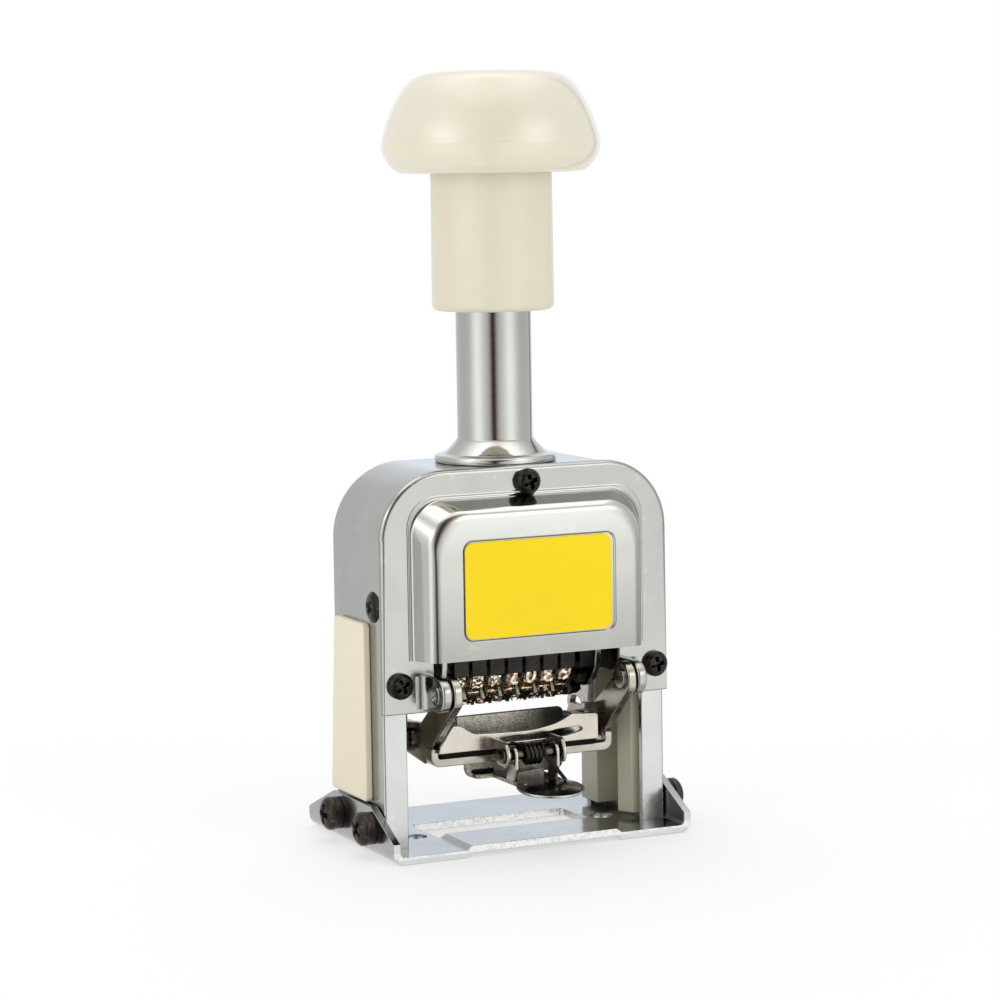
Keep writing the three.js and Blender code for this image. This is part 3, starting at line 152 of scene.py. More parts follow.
class Finish(Nodes):
    """One material, with its Principled shader and the patterns that feed it."""

    def __init__(self, name, **constants):
        self.material = bpy.data.materials.new(name)
        self.material.use_nodes = True
        super().__init__(self.material.node_tree)
        self.shader = self.tree.nodes["Principled BSDF"]
        for socket, value in constants.items():
            self.shader.inputs[socket.replace("_", " ")].default_value = value
        self.places = self.add("ShaderNodeTexCoord").outputs["Object"]

    def placed(self, stretch=(1, 1, 1), turn=(0, 0, 0)):
        """The object's own coordinates, multiplied on each axis and then turned."""
        inputs = {"Vector": self.places, "Scale": stretch, "Rotation": turn}
        return self.add("ShaderNodeMapping", inputs=inputs).outputs[0]

    def noise(self, scale, detail=3.0, rough=0.55, stretch=(1, 1, 1), turn=(0, 0, 0)):
        """Smooth noise round a half, with the given number of clouds in a metre."""
        places = self.placed(stretch, turn)
        inputs = {"Vector": places, "Scale": scale, "Detail": detail, "Roughness": rough}
        return Level(self, self.add("ShaderNodeTexNoise", inputs=inputs).outputs[0])

    def specks(self, scale):
        """The distance to the nearest of scattered points: small at each, and larger between them."""
        inputs = {"Vector": self.placed(), "Scale": scale}
        return Level(self, self.add("ShaderNodeTexVoronoi", {"feature": "F1"}, inputs).outputs["Distance"])

    def part(self, axis):
        """One of the object's own coordinates, in metres."""
        node = self.add("ShaderNodeSeparateXYZ", inputs={"Vector": self.places})
        return Level(self, node.outputs[axis])

    def edges(self, low=0.515, high=0.6):
        """Outward edges, where a metal is rubbed, and where the type metal also carries a painted
        highlight.
        """
        node = self.add("ShaderNodeNewGeometry")
        return Level(self, node.outputs["Pointiness"]).between(low, high)

    def blend(self, factor, first, second):
        """first * (1 - factor) + second * factor, for colours."""
        inputs = {0: factor, 6: first, 7: second}
        return self.add("ShaderNodeMix", {"data_type": "RGBA"}, inputs).outputs[2]

    def colour(self, term):
        self.feed(self.shader.inputs["Base Color"], term)

    def roughness(self, term):
        self.feed(self.shader.inputs["Roughness"], term)

    def bump(self, height, distance):
        """Tilts the shading as if the surface stood distance metres high where the height is 1."""
        inputs = {"Height": height, "Distance": distance, "Strength": 1.0}
        self.feed(self.shader.inputs["Normal"], self.add("ShaderNodeBump", inputs=inputs).outputs[0])


def tone(red, green, blue):
    """A written sRGB colour, 0 to 255, as the linear colour that a shader takes."""
    share = np.array([red, green, blue]) / 255
    linear = np.where(share <= 0.04045, share / 12.92, ((share + 0.055) / 1.055) ** 2.4)
    return (*linear.tolist(), 1.0)


def plated_metal(
    name, colour, dark, rough, spread, grain=900, pits=0.000012, bright=None, rubbed=True, dull=0.0,
):
    """Plated sheet: cloudy tone, finely uneven gloss, small pits and paler rubbed places, which on the type
    metal are partly a painted highlight.
    Its roughness is rough, plus spread times the two noises' mean, plus dull at the machine's foot."""
    made = Finish(name, Metallic=1.0)
    cloud = made.noise(70, 4)
    fine = made.noise(grain, 3)
    worn = made.noise(1600, 2).between(0.3, 0.6)
    worn = worn * (made.edges() if rubbed else made.noise(240, 3).between(0.62, 0.8) * 0.25)
    base = made.blend(cloud.between(0.35, 0.7), dark, colour)
    made.colour(made.blend(worn, base, bright or tone(236, 236, 232)))
    foot = made.part("Z").between(0.016, 0.003) * dull
    made.roughness(rough + spread * (fine.between(0.3, 0.7) + cloud) * 0.5 + foot)
    made.bump(made.specks(grain * 0.9) + fine, pits)
    return made.material


def base_metal():
    """The base's sheet: bright, with torn, sparkling metal round the window and along the front.
    The distance from the window is the greater of those past its half width and half depth."""
    made = Finish("base_chrome", Metallic=1.0)
    half_width, half_depth, window_y, front_y = 0.0156, 0.00655, 0.0025, -0.0152
    cloud = made.noise(70, 4)
    fine = made.noise(700, 3)
    along = made.part("X").size() - half_width
    away = along.most((made.part("Y") - window_y).size() - half_depth)
    front = made.part("Y").between(front_y, front_y - 0.0003) * made.part("Z").between(0.0008, 0.0012)
    torn = away.between(0.0008, 0.0004) + front * made.part("Z").between(0.0024, 0.002)
    grit = made.noise(1500, 3, 0.7)
    torn = torn.least(1) * grit.between(0.34, 0.5)
    base = made.blend(cloud.between(0.35, 0.7), tone(160, 162, 162), tone(176, 178, 178))
    made.colour(made.blend(torn, base, tone(206, 207, 204)))
    made.roughness(0.12 + 0.05 * (fine.between(0.3, 0.7) + cloud) + torn * 0.2)
    made.bump((made.specks(630) + fine) * 0.2 + torn * grit * 0.7, 0.00006)
    return made.material


def brushed_metal(name, colour, dark, rough, spread, stretch, bright=None):
    """Bent strip: the tone and gloss are drawn out along one direction."""
    made = Finish(name, Metallic=1.0)
    lines = made.noise(220, 4, stretch=stretch)
    cloud = made.noise(110, 4)
    worn = made.edges() * made.noise(1500, 2).between(0.25, 0.6) * 0.35
    base = made.blend((lines * 0.5 + cloud * 0.5).between(0.35, 0.68), dark, colour)
    made.colour(made.blend(worn, base, bright or tone(232, 230, 224)))
    made.roughness(rough + spread * lines.between(0.3, 0.7))
    made.bump(lines, 0.00002)
    return made.material


def moulded_plastic(name, colour, shade, rough, coat):
    """Moulded plastic: a soft cloud of tone, a little orange peel and rare dark specks."""
    made = Finish(name, Coat_Weight=coat, Coat_Roughness=0.06, IOR=1.5)
    cloud = made.noise(34, 3)
    peel = made.noise(420, 2)
    speck = 1 - made.specks(260).between(0.0, 0.06)
    base = made.blend(cloud.between(0.35, 0.68), shade, colour)
    made.colour(made.blend(speck * 0.35, base, tone(150, 142, 120)))
    made.roughness(rough + 0.08 * peel)
    made.bump(peel * 0.6 + made.noise(2600, 2) * 0.12, 0.00004)
    return made.material


def blackened_steel(name, colour, shine, rough, rubbed=0.4):
    """Oil-blackened steel: near-black with brownish rubbed edges and a fine grain."""
    made = Finish(name, Metallic=0.85)
    cloud = made.noise(500, 4)
    rub = made.edges(0.52, 0.62) * cloud.between(0.35, 0.6) * rubbed
    made.colour(made.blend(rub, made.blend(cloud.between(0.3, 0.7), colour, shine), tone(120, 112, 102)))
    made.roughness(rough + 0.18 * cloud)
    made.bump(made.noise(2400, 3), 0.00003)
    return made.material


def grainy_metal():
    """The blasted jaw plate: a fine sparkle, darker towards one end."""
    made = Finish("grainy_jaw", Metallic=1.0)
    grain = made.noise(3400, 3, 0.7)
    light = made.blend(grain.between(0.36, 0.64), tone(118, 115, 105), tone(190, 187, 174))
    dark = made.blend(grain.between(0.36, 0.66), tone(44, 43, 40), tone(64, 62, 57))
    made.colour(made.blend(made.part("X").between(-0.002, 0.0065), light, dark))
    made.roughness(0.3 + 0.2 * made.noise(1200, 2))
    made.bump(grain, 0.00006)
    return made.material


def label_film():
    """Glossy yellow film: an even tone with faint waves where it is stuck down."""
    made = Finish("yellow_film", Specular_IOR_Level=0.25)
    cloud = made.noise(60, 3)
    made.colour(made.blend(cloud.between(0.3, 0.7), tone(252, 218, 0), tone(255, 224, 8)))
    made.roughness(0.32 + 0.12 * made.noise(900, 2))
    made.bump(cloud + made.noise(700, 2) * 0.08, 0.00012)
    return made.material


def inked_felt():
    """Felt soaked with ink: matted fibres, blue-black, a little damp in places."""
    made = Finish("inked_felt", Sheen_Weight=0.25, Sheen_Roughness=0.6)
    fibres = made.noise(1500, 5, stretch=(1, 0.35, 1))
    cross = made.noise(1300, 5, stretch=(0.35, 1, 1), turn=(0, 0, 0.6))
    mat = fibres * 0.5 + cross * 0.5
    made.colour(made.blend(mat.between(0.38, 0.62), tone(24, 24, 30), tone(62, 60, 68)))
    made.roughness(0.72 + 0.25 * made.noise(90, 3))
    made.bump(mat, 0.00025)
    return made.material


def cover_metal():
    """The front cover: satin on the rim, polished on the boss, whose face has painted shade low down and
    painted light towards its top.
    Its roughness is the satin's off the boss and the polish's on it, blended by the boss's share."""
    made = Finish("cover_chrome", Metallic=1.0)
    high = made.part("Z")
    front = (COVER_FRONT + FORWARD) * MM
    boss = made.part("Y").between(front, front - 0.0004) * high.between(0.0349, 0.0353)
    cloud = made.noise(60, 4)
    fine = made.noise(1000, 3)
    worn = made.noise(200, 3).between(0.62, 0.8) * 0.2
    rim = made.blend(cloud.between(0.35, 0.7), tone(156, 158, 153), tone(166, 168, 163))
    # Painted shade and painted light: the boss face darkens towards its foot and pales towards its top.
    painted_shade_low = made.blend(high.between(0.036, 0.05), tone(140, 141, 136), tone(166, 167, 162))
    face = made.blend(high.between(0.0535, 0.062), painted_shade_low, tone(192, 193, 189))
    face = made.blend(cloud.between(0.3, 0.7) * 0.12, face, tone(206, 207, 203))
    face = made.blend(made.part("Y").between(front - 0.004, front - 0.0048), tone(188, 189, 185), face)
    made.colour(made.blend(worn, made.blend(boss, rim, face), tone(226, 227, 224)))
    satin = 0.15 + 0.07 * fine
    polish = 0.07 + 0.04 * fine
    made.roughness(satin * (1 - boss) + polish * boss)
    made.bump((fine + made.specks(900)) * (1 - boss * 0.8), 0.000012)
    return made.material


CHROME = plated_metal(
    "satin_chrome", tone(178, 180, 177), tone(169, 171, 168), 0.12, 0.08, rubbed=False, dull=0.14,
)
BRIGHT = plated_metal(
    "bright_chrome", tone(181, 182, 178), tone(174, 175, 171), 0.05, 0.04, pits=0.000004,
)
SPARKLE = base_metal()
COVER = cover_metal()
NICKEL = brushed_metal("fork_nickel", tone(176, 170, 160), tone(140, 135, 126), 0.14, 0.1, (1, 1, 6))
PALE_NICKEL = brushed_metal("pale_nickel", tone(186, 181, 170), tone(168, 162, 152), 0.2, 0.1, (6, 1, 1))
DARK_NICKEL = brushed_metal("smoky_nickel", tone(96, 92, 86), tone(62, 59, 55), 0.16, 0.12, (4, 1, 1))
GRAINY = grainy_metal()
RATCHET = plated_metal(
    "ratchet_nickel", tone(158, 162, 146), tone(120, 124, 110), 0.34, 0.12, rubbed=False,
)
STEEL = plated_metal("plain_steel", tone(176, 175, 172), tone(150, 149, 146), 0.16, 0.12, rubbed=False)
BLACK = blackened_steel("blackened_steel", tone(30, 28, 27), tone(46, 42, 40), 0.16)
SCREW_BROWN = blackened_steel("brown_black_steel", tone(44, 38, 35), tone(62, 54, 50), 0.28)
COMB_BLACK = blackened_steel("comb_black", tone(30, 30, 29), tone(44, 43, 41), 0.26)
# Near-black steel with no rubbed edges, for plates that stand in for the shade in gaps: painted shade.
PAINTED_SHADE_BLACK = blackened_steel("painted_shade_black", tone(13, 12, 11), tone(20, 18, 17), 0.5, 0.0)
DISC_BLACK = brushed_metal(
    "disc_black", tone(60, 57, 53), tone(40, 38, 35), 0.15, 0.1, (4, 1, 1), tone(120, 117, 110),
)
# Its near-white edges are partly wear and partly a painted highlight on the raised type.
TYPE_METAL = plated_metal(
    "type_metal", tone(170, 136, 102), tone(92, 68, 48), 0.06, 0.1, 1600, 0.00007, tone(255, 246, 228),
)
HUB_METAL = plated_metal(
    "hub_metal", tone(110, 84, 62), tone(58, 46, 36), 0.2, 0.16, 1400, 0.00003, tone(190, 160, 128),
)
KNOB_CREAM = moulded_plastic("knob_cream", tone(234, 228, 208), tone(231, 224, 203), 0.16, 0.55)
CREAM = moulded_plastic("sleeve_cream", tone(228, 222, 200), tone(224, 217, 195), 0.3, 0.15)
PAD_CREAM = moulded_plastic("pad_cream", tone(235, 226, 202), tone(231, 221, 196), 0.32, 0.1)
GUIDE_CREAM = moulded_plastic("guide_cream", tone(206, 202, 180), tone(196, 192, 170), 0.34, 0.1)
YELLOW = label_film()
FELT = inked_felt()


# Shapes

def rounded(corners, steps=8):
    """Straight lines between the corners, each corner of a given radius turned on an arc, whose
    centre lies radius / sin(half the corner's angle) along the corner's bisector."""
    places = [np.array(corner[:2], float) for corner in corners]
    made = []
    for i, here in enumerate(places):
        radius = corners[i][2] if len(corners[i]) > 2 else 0
        if not radius:
            made.append(here[None])
            continue
        back = places[i - 1] - here
        ahead = places[(i + 1) % len(places)] - here
        back /= np.linalg.norm(back)
        ahead /= np.linalg.norm(ahead)
        half = math.acos(float(np.clip(back @ ahead, -1, 1))) / 2
        middle = (back + ahead) / np.linalg.norm(back + ahead)
        centre = here + middle * radius / math.sin(half)
        start = here + back * radius / math.tan(half) - centre
        end = here + ahead * radius / math.tan(half) - centre
        begin = math.atan2(start[1], start[0])
        sweep = math.atan2(end[1], end[0]) - begin
        sweep = (sweep + math.pi) % (2 * math.pi) - math.pi
        angles = begin + sweep * np.linspace(0, 1, steps + 1)
        made.append(centre + radius * np.stack([np.cos(angles), np.sin(angles)], 1))
    return np.concatenate(made)


def oblong(left, low, right, high, radius, steps=8):
    """A rectangle with one radius at all four corners, anticlockwise from the lower left one."""
    corners = [(left, low, radius), (right, low, radius), (right, high, radius), (left, high, radius)]
    return rounded(corners, steps)


def circle(x, y, radius, sides=40):
    """Even points on a circle: its centre plus the radius times each angle's cosine and sine."""
    angles = np.linspace(0, 2 * np.pi, sides, endpoint=False)
    return np.stack([x + radius * np.cos(angles), y + radius * np.sin(angles)], 1)


def through(points, steps=6, loop=False):
    """A smooth line through the points: Catmull and Rom's cubic between each two of them."""
    p = np.array(points, float)
    if loop:
        p = np.concatenate([p[-1:], p, p[:2]])
    else:
        p = np.concatenate([2 * p[:1] - p[1:2], p, 2 * p[-1:] - p[-2:-1]])
    t = np.linspace(0, 1, steps, endpoint=False)[:, None, None]
    a, b, c, d = p[:-3], p[1:-2], p[2:-1], p[3:]
    line = 0.5 * (2 * b + (c - a) * t + (2 * a - 5 * b + 4 * c - d) * t**2 + (3 * b - a - 3 * c + d) * t**3)
    line = line.transpose(1, 0, 2).reshape(-1, p.shape[1])
    return line if loop else np.concatenate([line, p[-2:-1]])


def area(loop):
    """Half the sum of each x times the next y, less y times the next x: positive anticlockwise."""
    x, y = loop.T
    return 0.5 * float(np.sum(x * np.roll(y, -1) - y * np.roll(x, -1)))


def drawn_in(loop, distance):
    """The loop moved to its left by a distance, along the bisectors of its corners."""
    ahead = np.roll(loop, -1, 0) - loop
    ahead /= np.maximum(np.linalg.norm(ahead, axis=1, keepdims=True), 1e-9)
    left = np.stack([-ahead[:, 1], ahead[:, 0]], 1)
    before = np.roll(left, 1, 0)
    spread = np.maximum(1 + np.sum(left * before, 1, keepdims=True), 0.35)
    return loop + distance * (left + before) / spread


def rings_to_faces(rows, columns, start=0, loop=True):
    """Quads between neighbouring rings of one grid."""
    i = np.arange(rows - 1)[:, None]
    j = np.arange(columns if loop else columns - 1)[None]
    k = (j + 1) % columns
    quads = np.stack([i * columns + j, i * columns + k, (i + 1) * columns + k, (i + 1) * columns + j], -1)
    return (quads.reshape(-1, 4) + start).tolist()


def filled(loops, starts):
    """Triangles between an outline and its holes, as indices of the whole mesh."""
    flat = [i + start for loop, start in zip(loops, starts) for i in range(len(loop))]
    shapes = [[Vector((float(x), float(y), 0)) for x, y in loop] for loop in loops]
    return [[flat[i] for i in triangle] for triangle in tessellate_polygon(shapes)]


PLANES = {
    "front": lambda a, b, depth: np.stack([a, depth, b], -1),
    "side": lambda a, b, depth: np.stack([depth, a, b], -1),
    "level": lambda a, b, depth: np.stack([a, b, depth], -1),
}


def plate(plane, loop, low, high, edge=0.2, holes=(), steps=3, far=None, shares=None):
    """A sheet: its outline carried from one face to the other over two quarter-round edges.
    The ring at each step is drawn in by edge * (1 - sin), and stands edge * (1 - cos) deep."""
    far = edge if far is None else far
    angles = np.linspace(0, np.pi / 2, steps + 1)
    near_in, near_up = edge * (1 - np.sin(angles)), edge * (1 - np.cos(angles))
    far_in, far_up = far * (1 - np.sin(angles[::-1])), far * (1 - np.cos(angles[::-1]))
    insets = np.concatenate([near_in, far_in])
    depths = np.concatenate([low + near_up, high - far_up])
    points, faces, first, last, starts, ends = [], [], [], [], [], []
    count = 0
    for i, outline in enumerate([loop, *holes]):
        outline = np.asarray(outline, float)
        share = 1.0 if shares is None or i else np.asarray(shares)[:, None]
        if (area(outline) > 0) != (i == 0):
            outline = outline[::-1]
            share = share if np.isscalar(share) else share[::-1]
        rings = [drawn_in(outline, d * share) for d in insets]
        for ring, depth in zip(rings, depths):
            points.append(PLANES[plane](ring[:, 0], ring[:, 1], np.full(len(ring), depth)))
        faces += rings_to_faces(len(rings), len(outline), count)
        first.append(rings[0])
        last.append(rings[-1])
        starts.append(count)
        ends.append(count + (len(rings) - 1) * len(outline))
        count += len(rings) * len(outline)
    faces += filled(first, starts) + filled(last, ends)
    return np.concatenate(points), faces


def lathe(profile, sides=72, axis="z", centre=(0, 0, 0), tilt=0.0):
    """A closed profile of radius and height turned round an axis through the centre."""
    profile = np.asarray(profile, float)
    angles = np.linspace(0, 2 * np.pi, sides, endpoint=False)
    r, h = profile[:, 0, None], profile[:, 1, None]
    x, y, z = r * np.cos(angles), r * np.sin(angles), h + 0 * angles
    grid = {"z": (x, y, z), "x": (z, x, y), "-x": (-z, x, y), "-y": (x, -z, y)}[axis]
    points = np.stack(grid, -1).reshape(-1, 3)
    if tilt:
        points = points @ np.array(Matrix.Rotation(math.radians(tilt), 3, "X")).T
    rows = np.arange(len(profile))
    j = np.arange(sides)
    k = (j + 1) % sides
    a, b = rows[:, None], np.roll(rows, -1)[:, None]
    quads = np.stack([a * sides + j, a * sides + k, b * sides + k, b * sides + j], -1)
    return points + np.array(centre), quads.reshape(-1, 4).tolist()


def wire(path, radius, sides=10, keep=(1, 0, 0)):
    """A round wire along a path; its ring's first spoke stays square to one fixed direction."""
    path = np.asarray(path, float)
    along = np.gradient(path, axis=0)
    along /= np.linalg.norm(along, axis=1, keepdims=True)
    keep = np.array(keep, float)
    spoke = keep - (along @ keep)[:, None] * along
    spoke /= np.linalg.norm(spoke, axis=1, keepdims=True)
    other = np.cross(along, spoke)
    angles = np.linspace(0, 2 * np.pi, sides, endpoint=False)[None, :, None]
    rings = path[:, None] + radius * (np.cos(angles) * spoke[:, None] + np.sin(angles) * other[:, None])
    faces = rings_to_faces(len(path), sides)
    faces.append(list(range(sides)))
    faces.append(list(range((len(path) - 1) * sides, len(path) * sides)))
    return rings.reshape(-1, 3), faces


def together(*parts):
    """Several closed shells as the points and faces of one mesh."""
    points, faces, count = [], [], 0
    for some_points, some_faces in parts:
        points.append(some_points)
        faces += [[i + count for i in face] for face in some_faces]
        count += len(some_points)
    return np.concatenate(points), faces


# Pieces

SHARP = 38


def shaded(mesh, sharp):
    """Smooth shading, broken at every edge that is sharper than the given angle in degrees."""
    mesh.polygons.foreach_set("use_smooth", [True] * len(mesh.polygons))
    mesh.set_sharp_from_angle(angle=math.radians(sharp))


def even_faces(piece):
    """Normals weighted by area, so that flat faces stay flat next to their rounded edges."""
    weighted = piece.modifiers.new("even_faces", "WEIGHTED_NORMAL")
    weighted.keep_sharp = True


def placed_piece(name, mesh, body, material, nodes):
    """An object of the mesh in one material, riding on its body and in the place of its nodes."""
    piece = bpy.data.objects.new(name, mesh)
    bpy.context.scene.collection.objects.link(piece)
    mesh.materials.clear()
    mesh.materials.append(material)
    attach(piece, body)
    if nodes:
        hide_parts(*nodes)
    return piece


def make(name, shape, body, material, nodes=(), sharp=SHARP, weigh=True):
    """A finished piece from points in the machine's millimetres."""
    points, faces = shape
    points = (np.asarray(points, float) + (0, FORWARD, 0)) * MM
    mesh = bpy.data.meshes.new(name)
    mesh.from_pydata(points.tolist(), [], faces)
    work = bmesh.new()
    work.from_mesh(mesh)
    bmesh.ops.remove_doubles(work, verts=work.verts, dist=2e-7)
    bmesh.ops.dissolve_degenerate(work, edges=work.edges, dist=1e-8)
    bmesh.ops.recalc_face_normals(work, faces=work.faces)
    work.to_mesh(mesh)
    work.free()
    shaded(mesh, sharp)
    piece = placed_piece(name, mesh, body, material, nodes)
    if weigh:
        even_faces(piece)
    return piece


def dressed(node, body, material, edge):
    """A copy of a CAD node with its seams merged, its flat faces joined and its edges rounded."""
    flat, bend, segments = 2, 32, 3
    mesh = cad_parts[node].data.copy()
    work = bmesh.new()
    work.from_mesh(mesh)
    bmesh.ops.remove_doubles(work, verts=work.verts, dist=1e-6)
    bmesh.ops.dissolve_limit(work, angle_limit=math.radians(flat), verts=work.verts, edges=work.edges)
    work.to_mesh(mesh)
    work.free()
    shaded(mesh, SHARP)
    piece = placed_piece(node + "_form", mesh, body, material, [node])
    bevel = piece.modifiers.new("rounded_edges", "BEVEL")
    bevel.width = edge * MM
    bevel.segments = segments
    bevel.limit_method = "ANGLE"
    bevel.angle_limit = math.radians(bend)
    bevel.use_clamp_overlap = True
    even_faces(piece)


# Camera, lamps and stage

MIDDLE = Vector((0, 0, 0.065))


def outward(azimuth, height):
    """The unit direction to a place round the machine, with azimuth 0 straight in front."""
    return Vector((
        math.sin(azimuth) * math.cos(height),
        -math.cos(azimuth) * math.cos(height),
        math.sin(height),
    ))


def aim_camera():
    """The photograph's own camera, from its azimuth, height, distance, roll and lens.
    The focal length is the one fitted in picture points, over the picture's width, times the sensor's."""
    azimuth, height, roll = math.radians(-25.114), math.radians(6.359), math.radians(-0.887)
    distance, focal, picture, sensor = 585.582, 3181.318, 1000, 36
    back = outward(azimuth, height)
    target = Vector((1.356, FORWARD, 61.374)) * MM
    right = (-back).cross(Vector((0, 0, 1))).normalized()
    up = right.cross(-back)
    right, up = (
        math.cos(roll) * right + math.sin(roll) * up,
        math.cos(roll) * up - math.sin(roll) * right,
    )
    lens = bpy.data.cameras.new("photo_camera")
    lens.sensor_width = sensor
    lens.lens = focal / picture * sensor
    lens.clip_start = 0.02
    lens.clip_end = 20
    camera = bpy.data.objects.new("photo_camera", lens)
    turn = Matrix((right, up, back)).transposed().to_4x4()
    camera.matrix_world = Matrix.Translation(target + back * distance * MM) @ turn
    bpy.context.scene.collection.objects.link(camera)
    bpy.context.scene.camera = camera


def softbox(name, azimuth, height, wide, high, level):
    """A soft lamp for matt surfaces; polished ones see its picture on the studio's dome.
    Its energy is its level times pi times its area."""
    distance = 0.8
    lamp = bpy.data.lights.new(name, "AREA")
    lamp.shape = "RECTANGLE"
    lamp.size = wide
    lamp.size_y = high
    lamp.energy = level * math.pi * wide * high
    obj = bpy.data.objects.new(name, lamp)
    place = MIDDLE + distance * outward(math.radians(azimuth), math.radians(height))
    facing = (MIDDLE - place).to_track_quat("-Z", "Y").to_matrix().to_4x4()
    obj.matrix_world = Matrix.Translation(place) @ facing
    obj.visible_glossy = False
    bpy.context.scene.collection.objects.link(obj)


def bell(level, middle, spread):
    """exp(-((level - middle) / spread) squared)"""
    return ((level - middle) * (1 / spread)).falling()


def stage_piece(name, points, faces, finish):
    """A mesh of the studio, kept out of the part."""
    mesh = bpy.data.meshes.new(name)
    mesh.from_pydata(points.tolist(), [], faces)
    mesh.materials.append(finish.material)
    piece = bpy.data.objects.new(name, mesh)
    bpy.context.scene.collection.objects.link(piece)
    return piece


def dome_light(radius):
    """The dome's shine by direction, turn and lift in degrees: two soft boxes stand left and right,
    with the camera's dark place between them, and the rest is an even wall."""
    top = 3.0
    made = Finish(
        "dome_light", Roughness=1.0, Base_Color=(0, 0, 0, 1), Specular_IOR_Level=0.0, Emission_Strength=top,
    )
    x, y, z = made.part("X"), made.part("Y"), made.part("Z")
    turn = x.math("ARCTAN2", x, y * -1) * (180 / math.pi)
    lift = x.math("ARCSINE", (z - MIDDLE.z) * (1 / radius)) * (180 / math.pi)
    boxes = bell(turn, -77, 21) + bell(turn, 25, 23)
    low = (1 - lift.between(30, 48)) * lift.between(-50, -25)
    high = bell(lift, 27, 9) * 1.7 + 0.86 * low
    above = bell(lift, 72, 20) * 1.5
    up = lift.most(0)
    gap = (turn + 27 - up * 0.25) / (11 + up * 0.5)
    dip = gap.falling() * (1 - lift.between(40, 62) * 0.7)
    edge = bell(turn, 117, 4) * (1 - lift.between(30, 60))
    seam = bell(lift, 48, 4) * bell(turn, -10, 55) * 0.7
    rear = bell(turn, 155, 45) * bell(lift, 12, 14) * 0.2
    shine = 0.88 + boxes * high + above + rear - edge * 0.7 - seam
    shine = (shine * (1 - dip * 0.92)).most(0.03)
    cool = bell(turn, 155, 40) * bell(lift, 6, 16)
    white = made.blend(cool, (1, 1, 1, 1), (0.93, 1.0, 1.1, 1))
    tint = made.blend(dip, white, (1, 0.78, 0.68, 1))
    inputs = {0: tint, "Scale": shine * (1 / top)}
    grey = made.add("ShaderNodeVectorMath", {"operation": "SCALE"}, inputs)
    made.feed(made.shader.inputs["Emission Color"], grey.outputs[0])
    return made


def raise_dome():
    """The studio's walls as polished metal mirrors them: a sphere about the machine's middle."""
    radius, sides, rows = 1.0, 96, 60
    climb = np.linspace(-np.pi / 2 + 0.02, np.pi / 2 - 0.02, rows)[:, None]
    angles = np.linspace(0, 2 * np.pi, sides, endpoint=False)[None]
    x, y = radius * np.cos(climb) * np.cos(angles), radius * np.cos(climb) * np.sin(angles)
    z = radius * np.sin(climb) + 0 * angles
    points = np.stack([x, y, z + MIDDLE.z], -1).reshape(-1, 3)
    caps = [list(range((rows - 1) * sides, rows * sides)), list(range(sides))]
    faces = rings_to_faces(rows, sides) + caps
    dome = stage_piece("dome", points, faces, dome_light(radius))
    dome.data.polygons.foreach_set("use_smooth", [True] * len(dome.data.polygons))
    for ray in ("camera", "diffuse", "shadow", "transmission", "volume_scatter"):
        setattr(dome, "visible_" + ray, False)


def lay_floor():
    """A pale round floor, just under the base, whose edge fades into the white backdrop."""
    sides, radii, drop = 96, np.array([0.001, 0.1, 0.2, 0.35, 0.6, 1.0, 3.0]), 0.00002
    angles = np.linspace(0, 2 * np.pi, sides, endpoint=False)
    points = np.stack([np.outer(radii, np.cos(angles)), np.outer(radii, np.sin(angles))], -1).reshape(-1, 2)
    points = np.concatenate([points, np.full((len(points), 1), -drop)], 1)
    made = Finish("floor_paper", Roughness=0.85)
    made.colour(made.blend(made.noise(500, 3), tone(250, 250, 249), tone(254, 254, 253)))
    made.bump(made.noise(900, 3), 0.00002)
    away = made.add("ShaderNodeVectorMath", {"operation": "LENGTH"}, {0: made.places})
    fade = Level(made, away.outputs["Value"]).between(0.04, 0.22)
    white = made.add("ShaderNodeEmission", inputs={"Color": (1, 1, 1, 1), "Strength": 1.0})
    inputs = {0: (0.55 + 0.45 * fade) * made.looked_at(), 1: made.shader.outputs[0], 2: white.outputs[0]}
    mixed = made.add("ShaderNodeMixShader", inputs=inputs)
    made.feed(made.tree.nodes["Material Output"].inputs[0], mixed.outputs[0])
    faces = rings_to_faces(len(radii), sides) + [list(range(sides))[::-1]]
    floor = stage_piece("floor", points, faces, made)
    floor.visible_glossy = False


def light_world():
    """Even light from all round; the camera and polished metal see a white backdrop."""
    world = bpy.data.worlds.new("studio")
    bpy.context.scene.world = world
    world.use_nodes = True
    world.node_tree.nodes.clear()
    made = Nodes(world.node_tree)
    light, backdrop = (
        made.add("ShaderNodeBackground", inputs={"Color": (1, 1, 1, 1), "Strength": strength})
        for strength in (0.75, 1.0)
    )
    inputs = {0: made.looked_at(), 1: light.outputs[0], 2: backdrop.outputs[0]}
    mixed = made.add("ShaderNodeMixShader", inputs=inputs)
    made.add("ShaderNodeOutputWorld", inputs={0: mixed.outputs[0]})


def set_stage():
    """The floor, the white surroundings, the mirrored dome and the photograph's three lamps."""
    lay_floor()
    light_world()
    raise_dome()
    softbox("box_left", -79, 16, 0.3, 0.34, 2.6)
    softbox("box_right", 24, 18, 0.26, 0.3, 2.65)
    softbox("box_top", 160, 68, 0.7, 0.5, 1.2)
    bpy.context.scene.view_settings.view_transform = "Standard"


# Knob, sleeve and neck

OVERALL = 140.0
KNOB_RADIUS = 20.0
KNOB_BOTTOM = 121.4
KNOB_BORE = 7.6
ROD_BORE = 3.3
SPRING_HEAD = 133.8
SPRING_FOOT = 72.3
SLEEVE_BOTTOM = 96.5
TUBE_TOP = 108
HOUSING_TOP = 68.9
AXIS = (0, STAMP_Y, 0)


